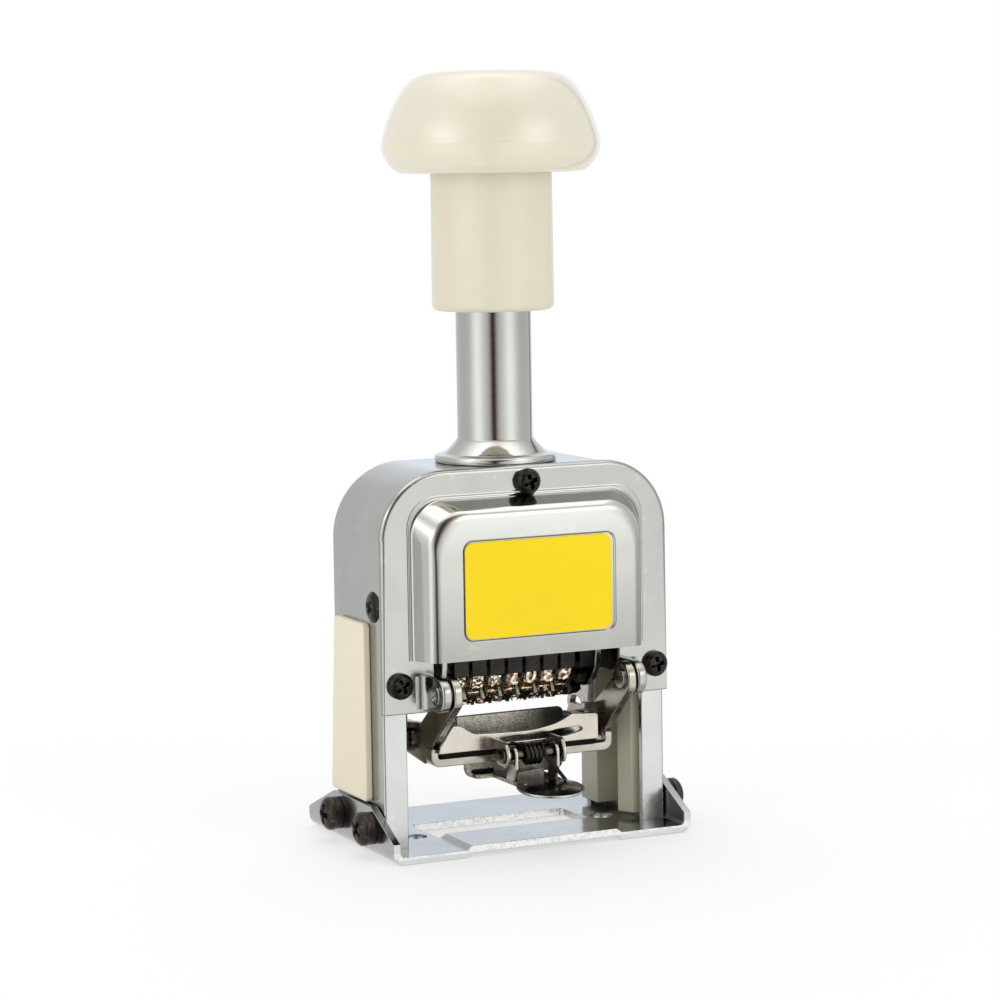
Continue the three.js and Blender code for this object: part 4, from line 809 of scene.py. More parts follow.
def knob_piece():
    """The mushroom knob, a profile turned round the stamp axis: a smooth line up to its widest ring,
    a crease and a smooth dome, in shares of the knob's radius and height."""
    under = [(0.80, 0), (0.86, 0.018), (0.915, 0.07), (0.962, 0.14), (0.99, 0.215), (0.999, 0.29)]
    dome = [
        (0.996, 0.297), (0.983, 0.37), (0.957, 0.47), (0.922, 0.57), (0.88, 0.67), (0.832, 0.76),
        (0.775, 0.845), (0.70, 0.92), (0.60, 0.966), (0.45, 0.988), (0.25, 0.998), (0, 1),
    ]
    outside = np.concatenate([through(under, 6), through(dome, 6)])
    outside = outside * (KNOB_RADIUS, OVERALL - KNOB_BOTTOM) + (0, KNOB_BOTTOM)
    rod_head = OVERALL - 3
    bore = rounded([
        (0, rod_head), (ROD_BORE, rod_head), (ROD_BORE, SPRING_HEAD), (KNOB_BORE, SPRING_HEAD, 0.6),
        (KNOB_BORE, KNOB_BOTTOM, 0.3),
    ])
    profile = np.concatenate([outside, bore[:-1], [(KNOB_BORE, KNOB_BOTTOM)]])
    make("mushroom_knob", lathe(profile, 128, "z", AXIS), "plunger", KNOB_CREAM, ["knob"], sharp=50)


def sleeve_piece():
    """The sleeve under the knob: a slightly tapered wall turned round the stamp axis."""
    inner, low_radius, top_radius = 7.4, 11.17, 11.05
    profile = rounded([
        (inner, SLEEVE_BOTTOM, 0.4), (low_radius, SLEEVE_BOTTOM, 1.3), (top_radius, KNOB_BOTTOM),
        (inner, KNOB_BOTTOM),
    ])
    make("hand_sleeve", lathe(profile, 112, "z", AXIS), "plunger", CREAM, ["grip_sleeve"])


def neck_piece():
    """The chrome neck, turned round the stamp axis: a disc with a rolled edge, a flared cone and a tube."""
    nose, disc_radius, tube, bore, thread = 64.9, 11.2, 6.9, 5.7, 6.6
    disc = HOUSING_TOP + 1.4
    low = rounded([
        (ROD_BORE, nose), (thread, nose, 0.3), (thread, HOUSING_TOP), (disc_radius, HOUSING_TOP, 0.4),
        (disc_radius, disc - 0.05, 0.6), (9.9, disc + 0.05), (9.8, disc + 0.08),
    ])[:-2]
    cone = through([
        (9.75, disc + 0.12), (9.35, disc + 0.3), (8.6, disc + 0.98), (7.88, disc + 1.72),
        (7.26, disc + 2.45), (7.0, disc + 2.85),
    ], 5)
    top = rounded([
        (tube, disc + 3.0), (tube, TUBE_TOP, 0.3), (bore, TUBE_TOP, 0.3), (bore, SPRING_FOOT),
        (ROD_BORE, SPRING_FOOT),
    ])
    profile = np.concatenate([low, cone, top])
    make("chrome_neck", lathe(profile, 128, "z", AXIS), "frame", BRIGHT, ["neck_tube"])


# Housing and front cover

HALF = 28.2
FRONT = -12.6
REAR = 10.2
COVER_BOTTOM = 25.7
EAR_OUT = 20.3
EAR_Y, EAR_Z = -18.4, 29.5
BOSS_FRONT = -18.95


def arch_line(half, bottom, top, radius, steps=20):
    """The open line of an arch, from its left foot over the top to its right foot."""
    corner = rounded([(-half, bottom), (-half, top, radius), (half, top, radius), (half, bottom)], steps)
    rise = np.linspace(bottom, top - radius, 10)[:-1]
    left = np.stack([np.full(9, -half), rise], 1)
    right = np.stack([np.full(9, half), rise[::-1]], 1)
    return np.concatenate([left, corner[1:-1], right])


def inward(line):
    """Unit directions square to an open line, to its right."""
    along = np.gradient(line, axis=0)
    along /= np.linalg.norm(along, axis=1, keepdims=True)
    return np.stack([along[:, 1], -along[:, 0]], 1)


def housing_piece():
    """The bent arch: a channel section, with a lip at the front and back, carried along the arch,
    and the flat back plate set into its rear lips."""
    foot, turn, sheet, lip, lip_sheet = 1.42, 13.5, 1.5, 4.6, 1.2
    line = arch_line(HALF, foot, HOUSING_TOP, turn)
    normal = inward(line)
    section = rounded([
        (0, FRONT, 0.45), (lip, FRONT, 0.2), (lip, FRONT + lip_sheet, 0.2), (sheet, FRONT + lip_sheet, 0.4),
        (sheet, REAR - sheet, 0.4), (lip, REAR - sheet, 0.2), (lip, REAR, 0.2), (0, REAR, 1.3),
    ], 6)
    inset, depth = section[:, 0], section[:, 1]
    x = line[:, 0, None] + normal[:, 0, None] * inset
    z = line[:, 1, None] + normal[:, 1, None] * inset
    points = np.stack([x, np.broadcast_to(depth, x.shape), z], -1).reshape(-1, 3)
    count = len(section)
    faces = rings_to_faces(len(line), count)
    faces += filled([section], [0]) + filled([section], [(len(line) - 1) * count])
    half, top, corner = 25, 66.4, 10.2
    outline = rounded([
        (-half, COVER_BOTTOM, 0.8), (half, COVER_BOTTOM, 0.8), (half, top, corner), (-half, top, corner),
    ], 12)
    button_hole = circle(0, 57, 2.3)
    back = plate("front", outline, REAR - 1.35, REAR - 0.25, 0.25, [button_hole])
    make("housing_arch", together((points, faces), back), "frame", CHROME, ["housing"])


def boss_shape():
    """The raised boss: its outline, wider round the corners towards the face, carried over
    a bead, a hollow foot, a short wall and a round shoulder. The face holds the label's seat."""
    half, top, bottom, corner = 23.15, 64.35, 35.3, 5.9
    foot, shoulder, wall, lean = 0.7, 2.2, 1.2, math.radians(68)
    turn = np.linspace(0, lean, 10)
    run = (COVER_FRONT - BOSS_FRONT - (foot + shoulder) * (1 - math.cos(lean))) / math.tan(lean)
    centre = foot * math.sin(lean) + run + shoulder * math.sin(lean)
    bead = through([(-0.4, 0.03), (-0.27, -0.04), (-0.12, -0.08), (0.04, -0.04), (0.14, -0.01)], 3)

    def shoulder_line(radius):
        """The shoulder's arc: its centre less the radius times each angle's sine and cosine."""
        arc = turn[::-1]
        return np.stack([centre - radius * np.sin(arc), BOSS_FRONT + shoulder - radius * np.cos(arc)], 1)

    outer = np.concatenate([
        bead + (0, COVER_FRONT),
        np.stack([foot * np.sin(turn[3:]), COVER_FRONT - foot * (1 - np.cos(turn[3:]))], 1),
        shoulder_line(shoulder),
    ])
    inner = np.concatenate([
        np.array([(foot * math.sin(lean) + wall, FRONT - 0.05)]),
        shoulder_line(shoulder - wall),
    ])

    def carried(rows):
        """An arch for each pair of inset and depth, as rings of points."""
        rings = []
        for inset, depth in rows:
            line = arch_line(half - inset, bottom, top - inset, corner + 0.5 * max(inset, 0), 14)
            rings.append(np.stack([line[:, 0], np.full(len(line), depth), line[:, 1]], 1))
        return np.array(rings)

    outside, inside = carried(outer), carried(inner)
    n = outside.shape[1]
    start = len(outer) * n
    points = [outside.reshape(-1, 3), inside.reshape(-1, 3)]
    faces = rings_to_faces(len(outer), n, 0, False) + rings_to_faces(len(inner), n, start, False)
    faces += [[i, i + 1, start + i + 1, start + i] for i in range(n - 1)]
    edge_out = [row * n for row in range(len(outer))]
    edge_in = [start + row * n for row in range(len(inner))]
    for shift in (0, n - 1):
        faces.append([i + shift for i in edge_out] + [i + shift for i in edge_in[::-1]])
    last_out, last_in = (len(outer) - 1) * n, start + (len(inner) - 1) * n
    faces.append([last_out, last_out + n - 1, last_in + n - 1, last_in])
    faces += filled([inside[-1][:, [0, 2]]], [last_in])

    # Shallow seat for the label, stepped down from the face on an S-shaped slope
    seat_width, seat_depth = 0.45, 0.36
    seat = oblong(-15.0, 38.5, 15.5, 56.9, 2)[::-1]
    slope = np.linspace(0, 1, 5)
    count = sum(len(p) for p in points)
    for share in slope:
        ring = drawn_in(seat, -seat_width * share)
        depth = BOSS_FRONT + seat_depth * (share * share * (3 - 2 * share))
        points.append(np.stack([ring[:, 0], np.full(len(ring), depth), ring[:, 1]], 1))
    faces += filled([outside[-1][:, [0, 2]], seat], [last_out, count])
    faces += rings_to_faces(len(slope), len(seat), count)
    seat_floor = count + (len(slope) - 1) * len(seat)
    faces.append(list(range(seat_floor, seat_floor + len(seat))))
    return np.concatenate(points), faces


def ear_shape(hand):
    """An ear bent forward from the rim, and the hollow quarter-round fillet between the two."""
    low, high, nose, sheet, fillet, root = 26.35, 32.65, -21.55, 1.8, 2.0, 22.3
    ear = rounded([(-13.2, low, 0.6), (-13.2, high, 0.6), (nose, high, 3.13), (nose, low, 3.13)], 12)
    side = plate("side", ear, *sorted((hand * (EAR_OUT - sheet), hand * EAR_OUT)), 0.4, steps=4)
    turn = np.linspace(0, np.pi / 2, 9)
    bend = COVER_FRONT - fillet
    curve = np.stack([hand * (root - fillet * np.sin(turn)), bend + fillet * np.cos(turn)], 1)
    back = [(hand * 19.9, bend), (hand * 19.9, COVER_FRONT + 0.6), (hand * root, COVER_FRONT + 0.6)]
    return together(side, plate("level", np.concatenate([curve, back]), 26.5, 32.5, 0.1))


def cover_piece():
    """The stamped cover: a flat rim whose outer edge is rolled, the raised boss and two ears."""
    half, top, turn = HALF + 0.4, HOUSING_TOP + 0.15, 12.6
    leg, gap, step, gap_top, roll = 18.5, 22.6, 35.6, 63.85, 0.95
    rim = rounded([
        (-half, COVER_BOTTOM, 0.4), (-half, top, turn), (half, top, turn), (half, COVER_BOTTOM, 0.4),
        (leg, COVER_BOTTOM, 0.6), (leg, step), (gap, step), (gap, gap_top, 5.4), (-gap, gap_top, 5.4),
        (-gap, step), (-leg, step), (-leg, COVER_BOTTOM, 0.6),
    ], 18)
    outer = (abs(rim[:, 0]) > 23.5) & (rim[:, 1] > 27) | (rim[:, 1] > 65)
    shares = np.where(outer, 1, 0.3)
    rolled = plate("front", rim, COVER_FRONT, FRONT - 0.03, roll, steps=6, far=0.15, shares=shares)
    shape = together(rolled, boss_shape(), ear_shape(-1), ear_shape(1))
    make("stamped_cover", shape, "frame", COVER, ["front_cover"], sharp=42)


def label_piece():
    """The bare label: a thin sheet with rounded corners in the boss's seat."""
    form = oblong(-14.5, 39.05, 14.5, 56.35, 1.6, 10)
    shape = plate("front", form, BOSS_FRONT + 0.07, BOSS_FRONT + 0.35, 0.08)
    make("yellow_label", shape, "frame", YELLOW, ["label_plate"])


# Screws and rivets

def screw_shape(radius, head, axis, centre, turn=0.0, dome=0.55, cross=0.62):
    """A pan head as a surface over radius and angle: a flat-topped dome, less a tapered cross."""
    sides, rings = 96, 30
    r = np.linspace(0, radius, rings)[:, None]
    angles = np.linspace(0, 2 * np.pi, sides, endpoint=False)[None]
    x, y = r * np.cos(angles - turn), r * np.sin(angles - turn)
    share = r / radius
    height = head * (1 - dome * share**5 - 0.12 * share**2) + 0 * angles
    reach, width = radius * cross, radius * 0.17
    arm = np.minimum(
        np.clip((width - np.minimum(abs(x), abs(y))) / (radius * 0.07), 0, 1),
        np.clip((reach - np.maximum(abs(x), abs(y))) / (radius * 0.2), 0, 1),
    )
    height = height - head * 0.6 * arm
    skirt = [(radius, 0.12 * head), (radius - 0.1, 0), (0, 0)]
    grid_r = np.concatenate([np.broadcast_to(r, height.shape), [np.full(sides, s[0]) for s in skirt]])
    grid_h = np.concatenate([height, [np.full(sides, s[1]) for s in skirt]])
    gx, gy = grid_r * np.cos(angles), grid_r * np.sin(angles)
    grid = {"-y": (gx, -grid_h, gy), "x": (grid_h, gx, gy), "-x": (-grid_h, gx, gy)}[axis]
    points = np.stack(grid, -1).reshape(-1, 3) + np.array(centre)
    return points, rings_to_faces(len(grid_r), sides)


def pin_shape(profile, axis, centre, round_by=0.2, sides=40):
    """A profile with rounded corners, save those on the axis, turned round the pin's axis."""
    corners = [(r, h, round_by if r > 0 else 0) for r, h in profile]
    return lathe(rounded(corners, 4), sides, axis, centre)


def screw_piece(name, head, shank, axis, place, finish, node):
    """A screw: its head and, behind it, a plain shank of the given length."""
    stem = pin_shape([(0, -shank), (1.1, -shank), (1.1, 0.1), (0, 0.1)], axis, place)
    make(name, together(head, stem), "frame", finish, [node], 50)


def screw_pieces():
    """Three screws on the cover and, on each side, a flat one, the ear's rivet and two foot screws
    with their washers."""
    pan_radius, flat_radius, foot_radius, foot_z, washer_high = 2.35, 2.8, 3.05, 5.1, 0.95
    for name, x, z, tall, turn in (
        ("top", 0.2, 66.2, 2.1, 0.35), ("left", -25.3, 31, 1.6, 0.5), ("right", 25.8, 30.9, 1.6, 0.2),
    ):
        place = (x, COVER_FRONT, z)
        head = screw_shape(pan_radius, tall, "-y", place, turn, 0.4)
        screw_piece("pan_screw_" + name, head, 2.3, "-y", place, BLACK, "cover_screw_" + name)
    for hand, side in ((-1, "left"), (1, "right")):
        axis = "x" if hand > 0 else "-x"
        place = (hand * HALF, -9.1, 44.8)
        head = screw_shape(flat_radius, 0.8, axis, place, 0.4, 0.75, 0.5)
        screw_piece("flat_screw_" + side, head, 3.3, axis, place, BLACK, "side_screw_" + side)
        rivet = pin_shape([
            (0, -4.2), (1.8, -4.2), (1.8, -3.7), (1.2, -3.7), (1.2, 0), (1.8, 0), (1.8, 0.4),
            (1.25, 0.4), (1.1, -0.3), (0, -0.3),
        ], axis, (hand * EAR_OUT, EAR_Y, EAR_Z), 0.12)
        make("ear_pivot_" + side, rivet, "frame", STEEL, ["ear_rivet_" + side])
        for end, y, turn in (("front", -9.9, 0.6), ("rear", 5.5, 0.1)):
            tail = end + "_" + side
            washer = pin_shape(
                [(1.4, 0), (2.95, 0), (2.95, washer_high), (1.4, washer_high)],
                axis, (hand * 29.8, y, foot_z), 0.2,
            )
            make("spring_washer_" + tail, washer, "frame", SCREW_BROWN, ["base_washer_" + tail])
            place = (hand * 30.8, y, foot_z)
            head = screw_shape(foot_radius, 2.1, axis, place, turn, 0.4)
            screw_piece("foot_screw_" + tail, head, 4.3, axis, place, SCREW_BROWN, "base_screw_" + tail)


# Pads and guides

def pad_and_guide_pieces():
    """On each side a tapered cream plate outside, and inside a guide whose plan has a groove."""
    pad = rounded([(-7.4, 9.3, 0.8), (9.0, 9.3, 0.8), (6.2, 41.6, 0.9), (-7.4, 41.6, 0.9)], 6)
    pad_sheet, wall, groove, face = 1.4, 26.7, 26.0, 21.3
    for hand, side in ((-1, "left"), (1, "right")):
        span = sorted((hand * HALF, hand * (HALF + pad_sheet)))
        shape = plate("side", pad, *span, 0.35, steps=4)
        make("cream_pad_" + side, shape, "frame", PAD_CREAM, ["side_pad_" + side])
        guide = rounded([
            (hand * wall, -10.1), (hand * 22.8, -10.1, 0.3), (hand * face, -6.8, 0.3),
            (hand * groove, -6.8), (hand * groove, 1.2), (hand * face, 1.2, 0.3),
            (hand * face, 7.9, 0.3), (hand * wall, 7.9),
        ], 5)
        shape = plate("level", guide, 2.4, 54, 0.2)
        make("cream_guide_" + side, shape, "frame", GUIDE_CREAM, ["guide_" + side])


# Wheels

WHEEL_Z = 32.3
WHEEL_PITCH = 3.57
WHEEL_PLACES = [-1 + (i - 3) * WHEEL_PITCH for i in range(7)]
FIGURES = 10
FIGURE_STEP = 2 * math.pi / FIGURES
SHAFT_BORE = 2.5
SHAFT_HOLE = circle(STAMP_Y, WHEEL_Z, SHAFT_BORE, 30)
DIAL_LEFT, DIAL_RIGHT = 12.7, 14.6


def digit_shapes():
    """The ten figures as raised solids, one unit tall, from Blender's own plain letters."""
    made = []
    for figure in range(FIGURES):
        curve = bpy.data.curves.new("figure", "FONT")
        curve.body = str(figure)
        curve.size = 1
        curve.extrude = 0.5
        curve.offset = 0.012
        curve.resolution_u = 3
        text = bpy.data.objects.new("figure", curve)
        bpy.context.scene.collection.objects.link(text)
        mesh = bpy.data.meshes.new_from_object(text.evaluated_get(bpy.context.evaluated_depsgraph_get()))
        points = np.empty(len(mesh.vertices) * 3)
        mesh.vertices.foreach_get("co", points)
        points = points.reshape(-1, 3)
        low, high = points.min(0), points.max(0)
        points = (points - (low + high) / 2) / (high - low)
        made.append((points, [list(face.vertices) for face in mesh.polygons]))
        bpy.data.objects.remove(text)
        bpy.data.curves.remove(curve)
        bpy.data.meshes.remove(mesh)
    return made


def onto_wheel(points, angle, x):
    """Turns points given as across, along the rim and out from the shaft to their place."""
    across, along, out = points.T
    c, s = math.cos(angle), math.sin(angle)
    y = STAMP_Y + out * c - along * s
    z = WHEEL_Z + out * s + along * c
    return np.stack([x + across, y, z], 1)


def toothed(points):
    """An outline of the wheel's side view from pairs of radius and angle."""
    return np.array([(STAMP_Y + r * math.cos(a), WHEEL_Z + r * math.sin(a)) for r, a in points])


def wheel_pieces():
    """Each wheel: ten blocks with raised figures, set round a turned core, and a toothed ratchet."""
    core, core_half, block_foot, block_top, figure_size = 6.45, 1.6, 6.2, 7.45, (-2.05, 3.1, 0.85)
    figures = digit_shapes()
    block = plate("level", oblong(-1.2, -1.75, 1.2, 1.75, 0.25, 3), block_foot, block_top, 0.15, steps=2)
    teeth = []
    for k in range(FIGURES):
        a = FIGURE_STEP * k - math.pi / 2
        for radius, share in ((6.6, -0.3), (8.25, -0.16), (7.6, 0.12), (6.6, 0.2)):
            teeth.append((radius, a + FIGURE_STEP * share))
    for i, x in enumerate(WHEEL_PLACES):
        number = str(i + 1)
        parts = []
        for k in range(FIGURES):
            angle = FIGURE_STEP * k - math.pi / 2
            parts.append((onto_wheel(block[0], angle, x + 0.4), block[1]))
            points, faces = figures[(k + 3 * i) % FIGURES]
            raised = points * figure_size + (0, 0, block_top + 0.12)
            parts.append((onto_wheel(raised, angle, x + 0.4), faces))
        body = "wheel_" + number
        node = "number_wheel_" + number
        make("type_blocks_" + number, together(*parts), body, TYPE_METAL, [node], 40, False)
        hub = pin_shape(
            [(SHAFT_BORE, -core_half), (core, -core_half), (core, core_half), (SHAFT_BORE, core_half)],
            "x", (x, STAMP_Y, WHEEL_Z), 0.15, 60,
        )
        make("wheel_core_" + number, hub, body, HUB_METAL)
        ratchet = plate("side", toothed(teeth), x - core_half, x - 0.9, 0.08, [SHAFT_HOLE], 2)
        make("wheel_ratchet_" + number, ratchet, body, RATCHET)


def dial_piece():
    """The repeat dial: a disc whose rim has twelve square notches, each half of a step wide."""
    notches, full, cut = 12, 8.0, 6.6
    step = 2 * math.pi / notches
    rim = ((full, -0.25), (full, 0), (full, 0.25), (cut, 0.25), (cut, 0.5), (cut, 0.75))
    loop = toothed([(radius, step * (k + share)) for k in range(notches) for radius, share in rim])
    shape = plate("side", loop, DIAL_LEFT, DIAL_RIGHT, 0.18, [SHAFT_HOLE])
    make("repeat_ring", shape, "dial", COMB_BLACK, ["repeat_dial"])


def comb_piece():
    """The black comb: a plate with one long finger over each wheel and one over the dial."""
    half, side, top, root, tip = 1.5, 14.9, 44.4, 39, 30.8
    spans = [(x - half, x + half) for x in WHEEL_PLACES]
    spans.append(((DIAL_LEFT + DIAL_RIGHT) / 2 - half, side))
    corners = [(-side, top, 0.4), (-side, root, 0.2)]
    for left, right in spans:
        corners += [(left, root, 0.1), (left, tip, 0.35), (right, tip, 0.35), (right, root, 0.1)]
    corners = corners[:-1] + [(side, top, 0.4)]
    shape = plate("front", rounded(corners, 4), -10.5, -9.7, 0.15)
    make("finger_comb", shape, "plunger", COMB_BLACK, ["detent_comb"])


# Ink fork, bracket and clip

PIN_Y, PIN_Z = -16.6, 17
PIN_HOLE = circle(PIN_Y, PIN_Z, 1.2, 24)


def fork_piece():
    """Two arms and a strip bent up at both ends, with round bosses and short tabs."""
    arm = rounded([
        (-21.55, 32.65, 3.12), (-21.55, 27.9, 1.6), (-10.3, 18.3, 0.8), (-10.6, 16.6, 0.3),
        (-8.7, 16.4, 0.3), (-7.6, 15.1, 1.2), (1.2, 16.1, 1.2), (4.5, 16.1, 2.7), (4.5, 21.9, 2.7),
        (0.6, 21.9, 1.5), (-6, 22.6, 2.4), (-15.25, 29.6, 1.2), (-15.25, 32.65, 3.12),
    ], 8)
    strip = rounded([
        (-18.3, 18.4), (-18.3, 15.05, 1.7), (18.2, 15.05, 1.7), (18.2, 18.5), (16.75, 18.5),
        (16.75, 16.6, 0.5), (-16.85, 16.6, 0.5), (-16.85, 18.4),
    ], 8)
    ear_hole = circle(EAR_Y, EAR_Z, 1.5, 30)
    arm_in, arm_out = 16.5, 18.1
    parts = [plate("front", strip, -11.25, -8.4, 0.22, steps=4)]
    for hand in (-1, 1):
        parts.append(plate("side", arm, *sorted((hand * arm_in, hand * arm_out)), 0.3, [ear_hole], 4))
        inner, outer, low = hand * 14.2, hand * 17.3, 21.7
        tab = rounded([(inner, low, 0.2), (inner, 23.7, 0.2), (outer, 23.4), (outer, low)], 3)
        parts.append(plate("front", tab, -7.9, -6.9, 0.15))
    make("ink_fork_strip", together(*parts), "fork", NICKEL, ["ink_fork"])


def bracket_piece():
    """The winged wall on the bar, with its window, a flat near-black foot plate as painted shade in the gap
    below the wall, and the two lugs for the pin.
    """
    wall_front, wall_back, wall_foot, lug_half = -12.4, -11.5, 17.62, 0.35
    wing = np.concatenate([
        through([
            (14.8, 21.9), (14.65, 22.3), (14.2, 22.5), (11.7, 22.62), (9.5, 22.72), (8.4, 22.25),
            (7.6, 21.85), (6.5, 21.4), (4.9, 21.0), (1.5, 20.5), (-2.5, 20.45), (-8.3, 20.65),
            (-10.1, 20.8), (-11.4, 21.45), (-12.8, 22.35), (-14.3, 22.5), (-15.0, 21.9), (-17.0, 18.9),
        ], 5),
        [(-17.3, wall_foot), (14.8, wall_foot)],
    ])
    window = through([
        (-5.0, 18.7), (-4.9, 19.3), (-1.2, 19.55), (1.5, 19.6), (4.85, 19.85), (6.6, 20.1), (9.1, 20.2),
        (10.8, 20.25), (11.4, 19.9), (11.2, 19.45), (9.0, 18.95), (7.4, 18.75), (1.0, 18.7),
    ], 5, True)
    # Painted shade: a near-black plate under the wall stands in for the shaded gap between the wall and the
    # strip.
    foot = rounded([(-16.6, -11.9, 0.2), (14.7, -11.9, 0.2), (14.7, -8.6, 0.3), (-16.6, -8.6, 0.3)], 3)
    make("bracket_foot_painted_shade", plate("level", foot, 16.6, 17.9, 0.15), "fork", PAINTED_SHADE_BLACK)
    lug = rounded([
        (wall_back, 16.62), (wall_back, 19.6, 0.2), (-17.5, 19.6, 1.6), (-18.8, 17.4, 1.2),
        (-18.3, 14.9, 1.6), (-14.6, 15.1, 0.8), (wall_front, 16.0, 0.5),
    ], 8)
    parts = [plate("front", wing, wall_front, wall_back, 0.2, [window], 3)]
    for x in (-6.3, 4.9):
        parts.append(plate("side", lug, x - lug_half, x + lug_half, 0.18, [PIN_HOLE], 4))
    make("winged_bracket", together(*parts), "fork", PALE_NICKEL, ["clip_bracket"])
    left, right, head, stem = -6.95, 5.55, 1.35, 0.9
    pin = pin_shape([
        (0, left), (head, left), (head, left + 0.28), (stem, left + 0.28),
        (stem, right - 0.28), (head, right - 0.28), (head, right), (0, right),
    ], "x", (0, PIN_Y, PIN_Z), 0.1)
    make("clip_pivot", pin, "fork", DARK_NICKEL, ["clip_pin"])


def clip_piece():
    """The spring clip: a strip with two lugs, a domed thumb disc in front and a jaw behind."""
    disc_place, disc_tilt, lug_half, under = (0, -22.4, 11.75), 5, 0.32, 11.6
    disc = rounded([
        (0, -0.4), (5.7, -0.4, 0.2), (6.0, -0.2, 0.15), (6.0, 0.1, 0.2), (5.7, 0.2, 0.15), (4.0, 0.52, 4.0),
        (0, 0.8),
    ], 6)
    make("thumb_disc", lathe(disc, 112, "z", disc_place, disc_tilt), "clip", DISC_BLACK)
    edge = rounded([
        (5.65, -0.45), (5.95, -0.45, 0.15), (6.17, -0.25, 0.15), (6.17, 0.05, 0.15), (5.95, 0.12, 0.05),
        (5.65, 0.12),
    ], 4)
    make("thumb_disc_edge", lathe(edge, 112, "z", disc_place, disc_tilt), "clip", CHROME)
    strip = rounded([(-5.0, -18.4, 0.4), (4.0, -18.4, 0.4), (4.0, -6.5), (-5.0, -6.5)], 4)
    step = rounded([(-4.4, 12.4), (0.9, 12.4), (0.9, 14.5, 0.3), (-4.4, 14.1, 0.3)], 3)
    neck = np.array([(-4.3, -20.6), (3.9, -20.6), (4.0, -18.2), (-4.9, -18.2)])
    lug = rounded([
        (-17.2, 11.7), (-14.2, 11.7), (-14.8, 15.5, 0.8), (-14.8, 18.8, 1.75), (-18.4, 18.8, 1.75),
        (-18.4, 14.5, 1.5),
    ], 8)
    lugs = [plate("side", lug, x - lug_half, x + lug_half, 0.2, [PIN_HOLE], 4) for x in (-4.65, 3.6)]
    make("clip_lugs", together(*lugs), "clip", PALE_NICKEL)
    body = together(
        plate("level", strip, under, 12.5, 0.2),
        plate("front", step, -18.1, -17.6, 0.15),
        plate("level", neck, 11.75, 12.45, 0.15),
    )
    make("thumb_disc_clip", body, "clip", DARK_NICKEL, ["thumb_clip"])
    jaw = rounded([
        (-9.9, under, 1.9), (9.9, under, 1.6), (10.1, 23.3, 1.0), (-11.6, 23.2, 0.5), (-11.6, 20.1, 0.8),
        (-9.9, 18.4, 0.8),
    ], 8)
    ledge = rounded([(-8.4, -8.7, 1.2), (-4.4, -8.7), (-4.4, -7.2), (-8.4, -7.2)], 5)
    shape = together(plate("front", jaw, -7.4, -6.4, 0.25), plate("level", ledge, under, 12.45, 0.15))
    make("jaw_plate", shape, "clip", GRAINY)
    # Painted shade: a near-black bar stands in for the shaded fold above the ledge.
    groove = rounded([(-8.7, 12.45, 0.2), (-4.4, 12.45), (-4.4, 13.15), (-8.7, 13.15, 0.3)], 3)
    make("jaw_fold_painted_shade", plate("front", groove, -7.75, -7.35, 0.05), "clip", PAINTED_SHADE_BLACK)


# Springs

def torsion_piece():
    """The clip's spring: a coil round the pin, one leg to the disc and one to the wall."""
    turns, radius, pitch, first_x = 4.25, 1.65, 0.82, 1.0
    t = np.linspace(0, 1, 200)
    angle = np.pi / 2 - 2 * np.pi * turns * t
    coil = np.stack([
        first_x - pitch * turns * t,
        PIN_Y - radius * np.sin(angle),
        PIN_Z + radius * np.cos(angle),
    ], 1)
    first = np.linspace((3.5, -21.6, 12.55), coil[0], 12)[:-1]
    last = np.linspace(coil[-1], (-2.9, -12.4, 18.4), 10)[1:]
    shape = wire(np.concatenate([first, coil, last]), 0.34, 12)
    make("torsion_wire", shape, "clip", BLACK, ["torsion_spring"], 60, False)


def return_spring_piece():
    """The return spring: a coil round the rod, from its foot up to the knob."""
    turns, radius, thickness, stroke = 13, 4.45, 0.5, 24
    t = np.linspace(0, 1, 24 * turns + 1)
    angle = 2 * np.pi * turns * t
    rise = SPRING_FOOT + thickness + (SPRING_HEAD - SPRING_FOOT - 2 * thickness) * t
    path = np.stack([radius * np.cos(angle), STAMP_Y + radius * np.sin(angle), rise], 1)
    coil = wire(path, thickness, 10, (0, 0, 1))
    piece = make("return_coil", coil, "plunger", STEEL, ["return_spring"], 60, False)
    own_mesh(piece)


# Felt and plain inner parts

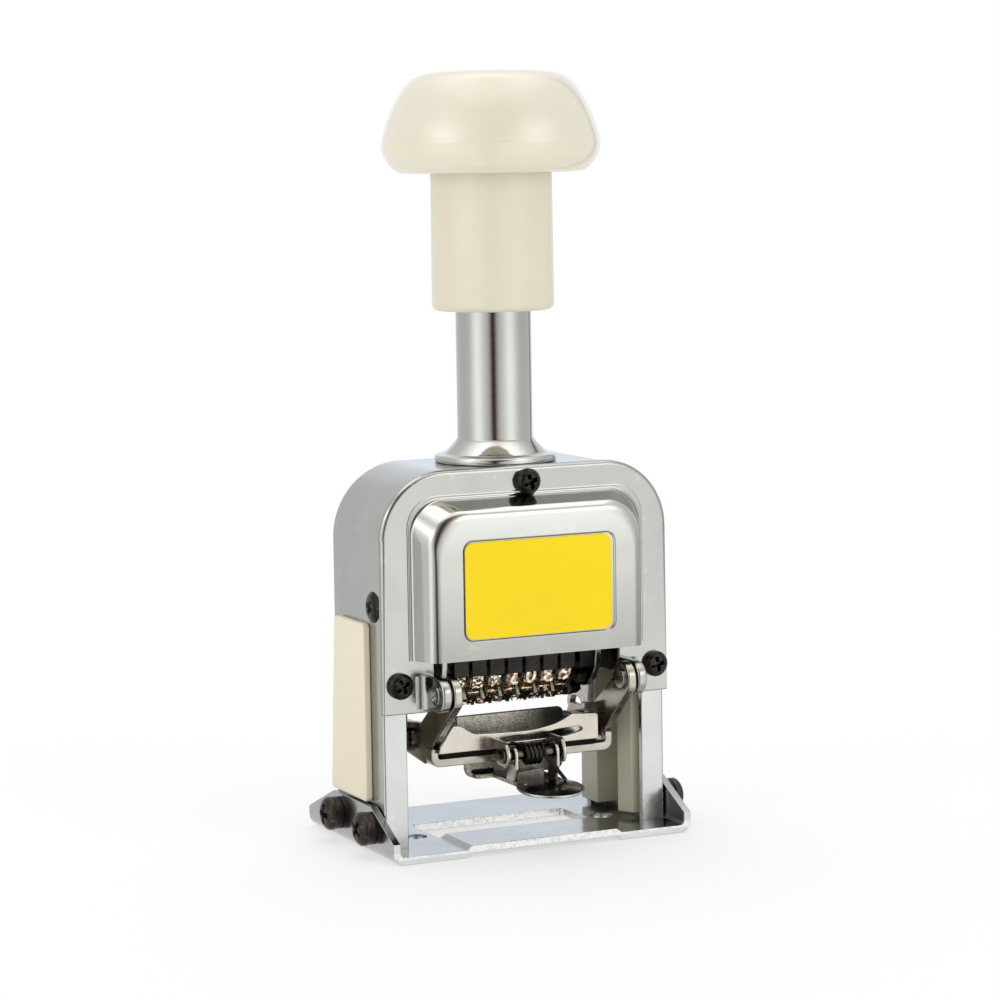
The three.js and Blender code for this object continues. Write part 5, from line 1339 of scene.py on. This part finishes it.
def felt_piece():
    """The felt: a level block whose top swells a little and whose edges sag, as a grid of heights.
    The height is the box's top, less a drop and a squared sag near the edges, plus nine sine waves."""
    low, high = (Vector(corner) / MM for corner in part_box("ink_pad"))
    nx, ny, drop, sag_depth, sag_width, wave = 121, 33, 0.4, 0.55, 0.8, 0.02
    u, v = np.meshgrid(np.linspace(-1, 1, nx), np.linspace(-1, 1, ny))
    x = (low.x + high.x) / 2 + (high.x - low.x) / 2 * u
    y = (low.y + high.y) / 2 + (high.y - low.y) / 2 * v
    near = np.minimum((1 - abs(u)) * (high.x - low.x) / 2, (1 - abs(v)) * (high.y - low.y) / 2)
    sag = sag_depth * np.clip(1 - near / sag_width, 0, 1) ** 2
    draws = np.random.default_rng(7)
    waves = sum(
        wave * np.sin(draws.uniform(0.6, 2.6) * x + draws.uniform(0.6, 2.6) * y + draws.uniform(0, 6))
        for _ in range(9)
    )
    top = high.z - drop - sag + waves * np.clip(near, 0, 1)
    top_grid = np.stack([x, y, top], -1).reshape(-1, 3)
    low_grid = np.stack([x, y, np.full(x.shape, low.z)], -1).reshape(-1, 3)
    faces = rings_to_faces(ny, nx, 0, False)
    faces += [face[::-1] for face in rings_to_faces(ny, nx, nx * ny, False)]
    index = np.arange(nx * ny).reshape(ny, nx)
    rim = np.concatenate([index[0], index[1:, -1], index[-1, -2::-1], index[-2:0:-1, 0]])
    after = np.roll(rim, -1)
    faces += np.stack([rim, after, after + nx * ny, rim + nx * ny], 1).tolist()
    points = np.concatenate([top_grid, low_grid]) - (0, FORWARD, 0)
    piece = make("felt_pad", (points, faces), "fork", FELT, ["ink_pad"], 50, False)


def plain_pieces():
    """Parts that keep their CAD form, first with rounded edges, then as they are."""
    for node, body, material, edge in (
        ("base_plate", "frame", SPARKLE, 0.28),
        ("neck_nut", "frame", DARK_NICKEL, 0.25),
        ("pawl_rocker", "rocker", DARK_NICKEL, 0.15),
        ("pad_tray", "fork", NICKEL, 0.2),
        ("drag_link_left", "link_left", NICKEL, 0.2),
        ("drag_link_right", "link_right", NICKEL, 0.2),
        ("carriage_bridge", "plunger", STEEL, 0.2),
        ("carriage_cheek_left", "plunger", STEEL, 0.2),
        ("carriage_cheek_right", "plunger", STEEL, 0.2),
        ("slide_shoe_left", "plunger", COMB_BLACK, 0.3),
        ("slide_shoe_right", "plunger", COMB_BLACK, 0.3),
    ):
        dressed(node, body, material, edge)
    for node in (
        "plunger_rod", "rod_spacer", "wheel_shaft", "link_stud_left", "link_stud_right",
        "fork_stud_left", "fork_stud_right", "lock_button",
    ):
        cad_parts[node].data.materials.clear()
        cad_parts[node].data.materials.append(STEEL)


aim_camera()
set_stage()
knob_piece()
sleeve_piece()
neck_piece()
housing_piece()
cover_piece()
label_piece()
screw_pieces()
pad_and_guide_pieces()
wheel_pieces()
dial_piece()
comb_piece()
fork_piece()
bracket_piece()
clip_piece()
torsion_piece()
return_spring_piece()
felt_piece()
plain_pieces()
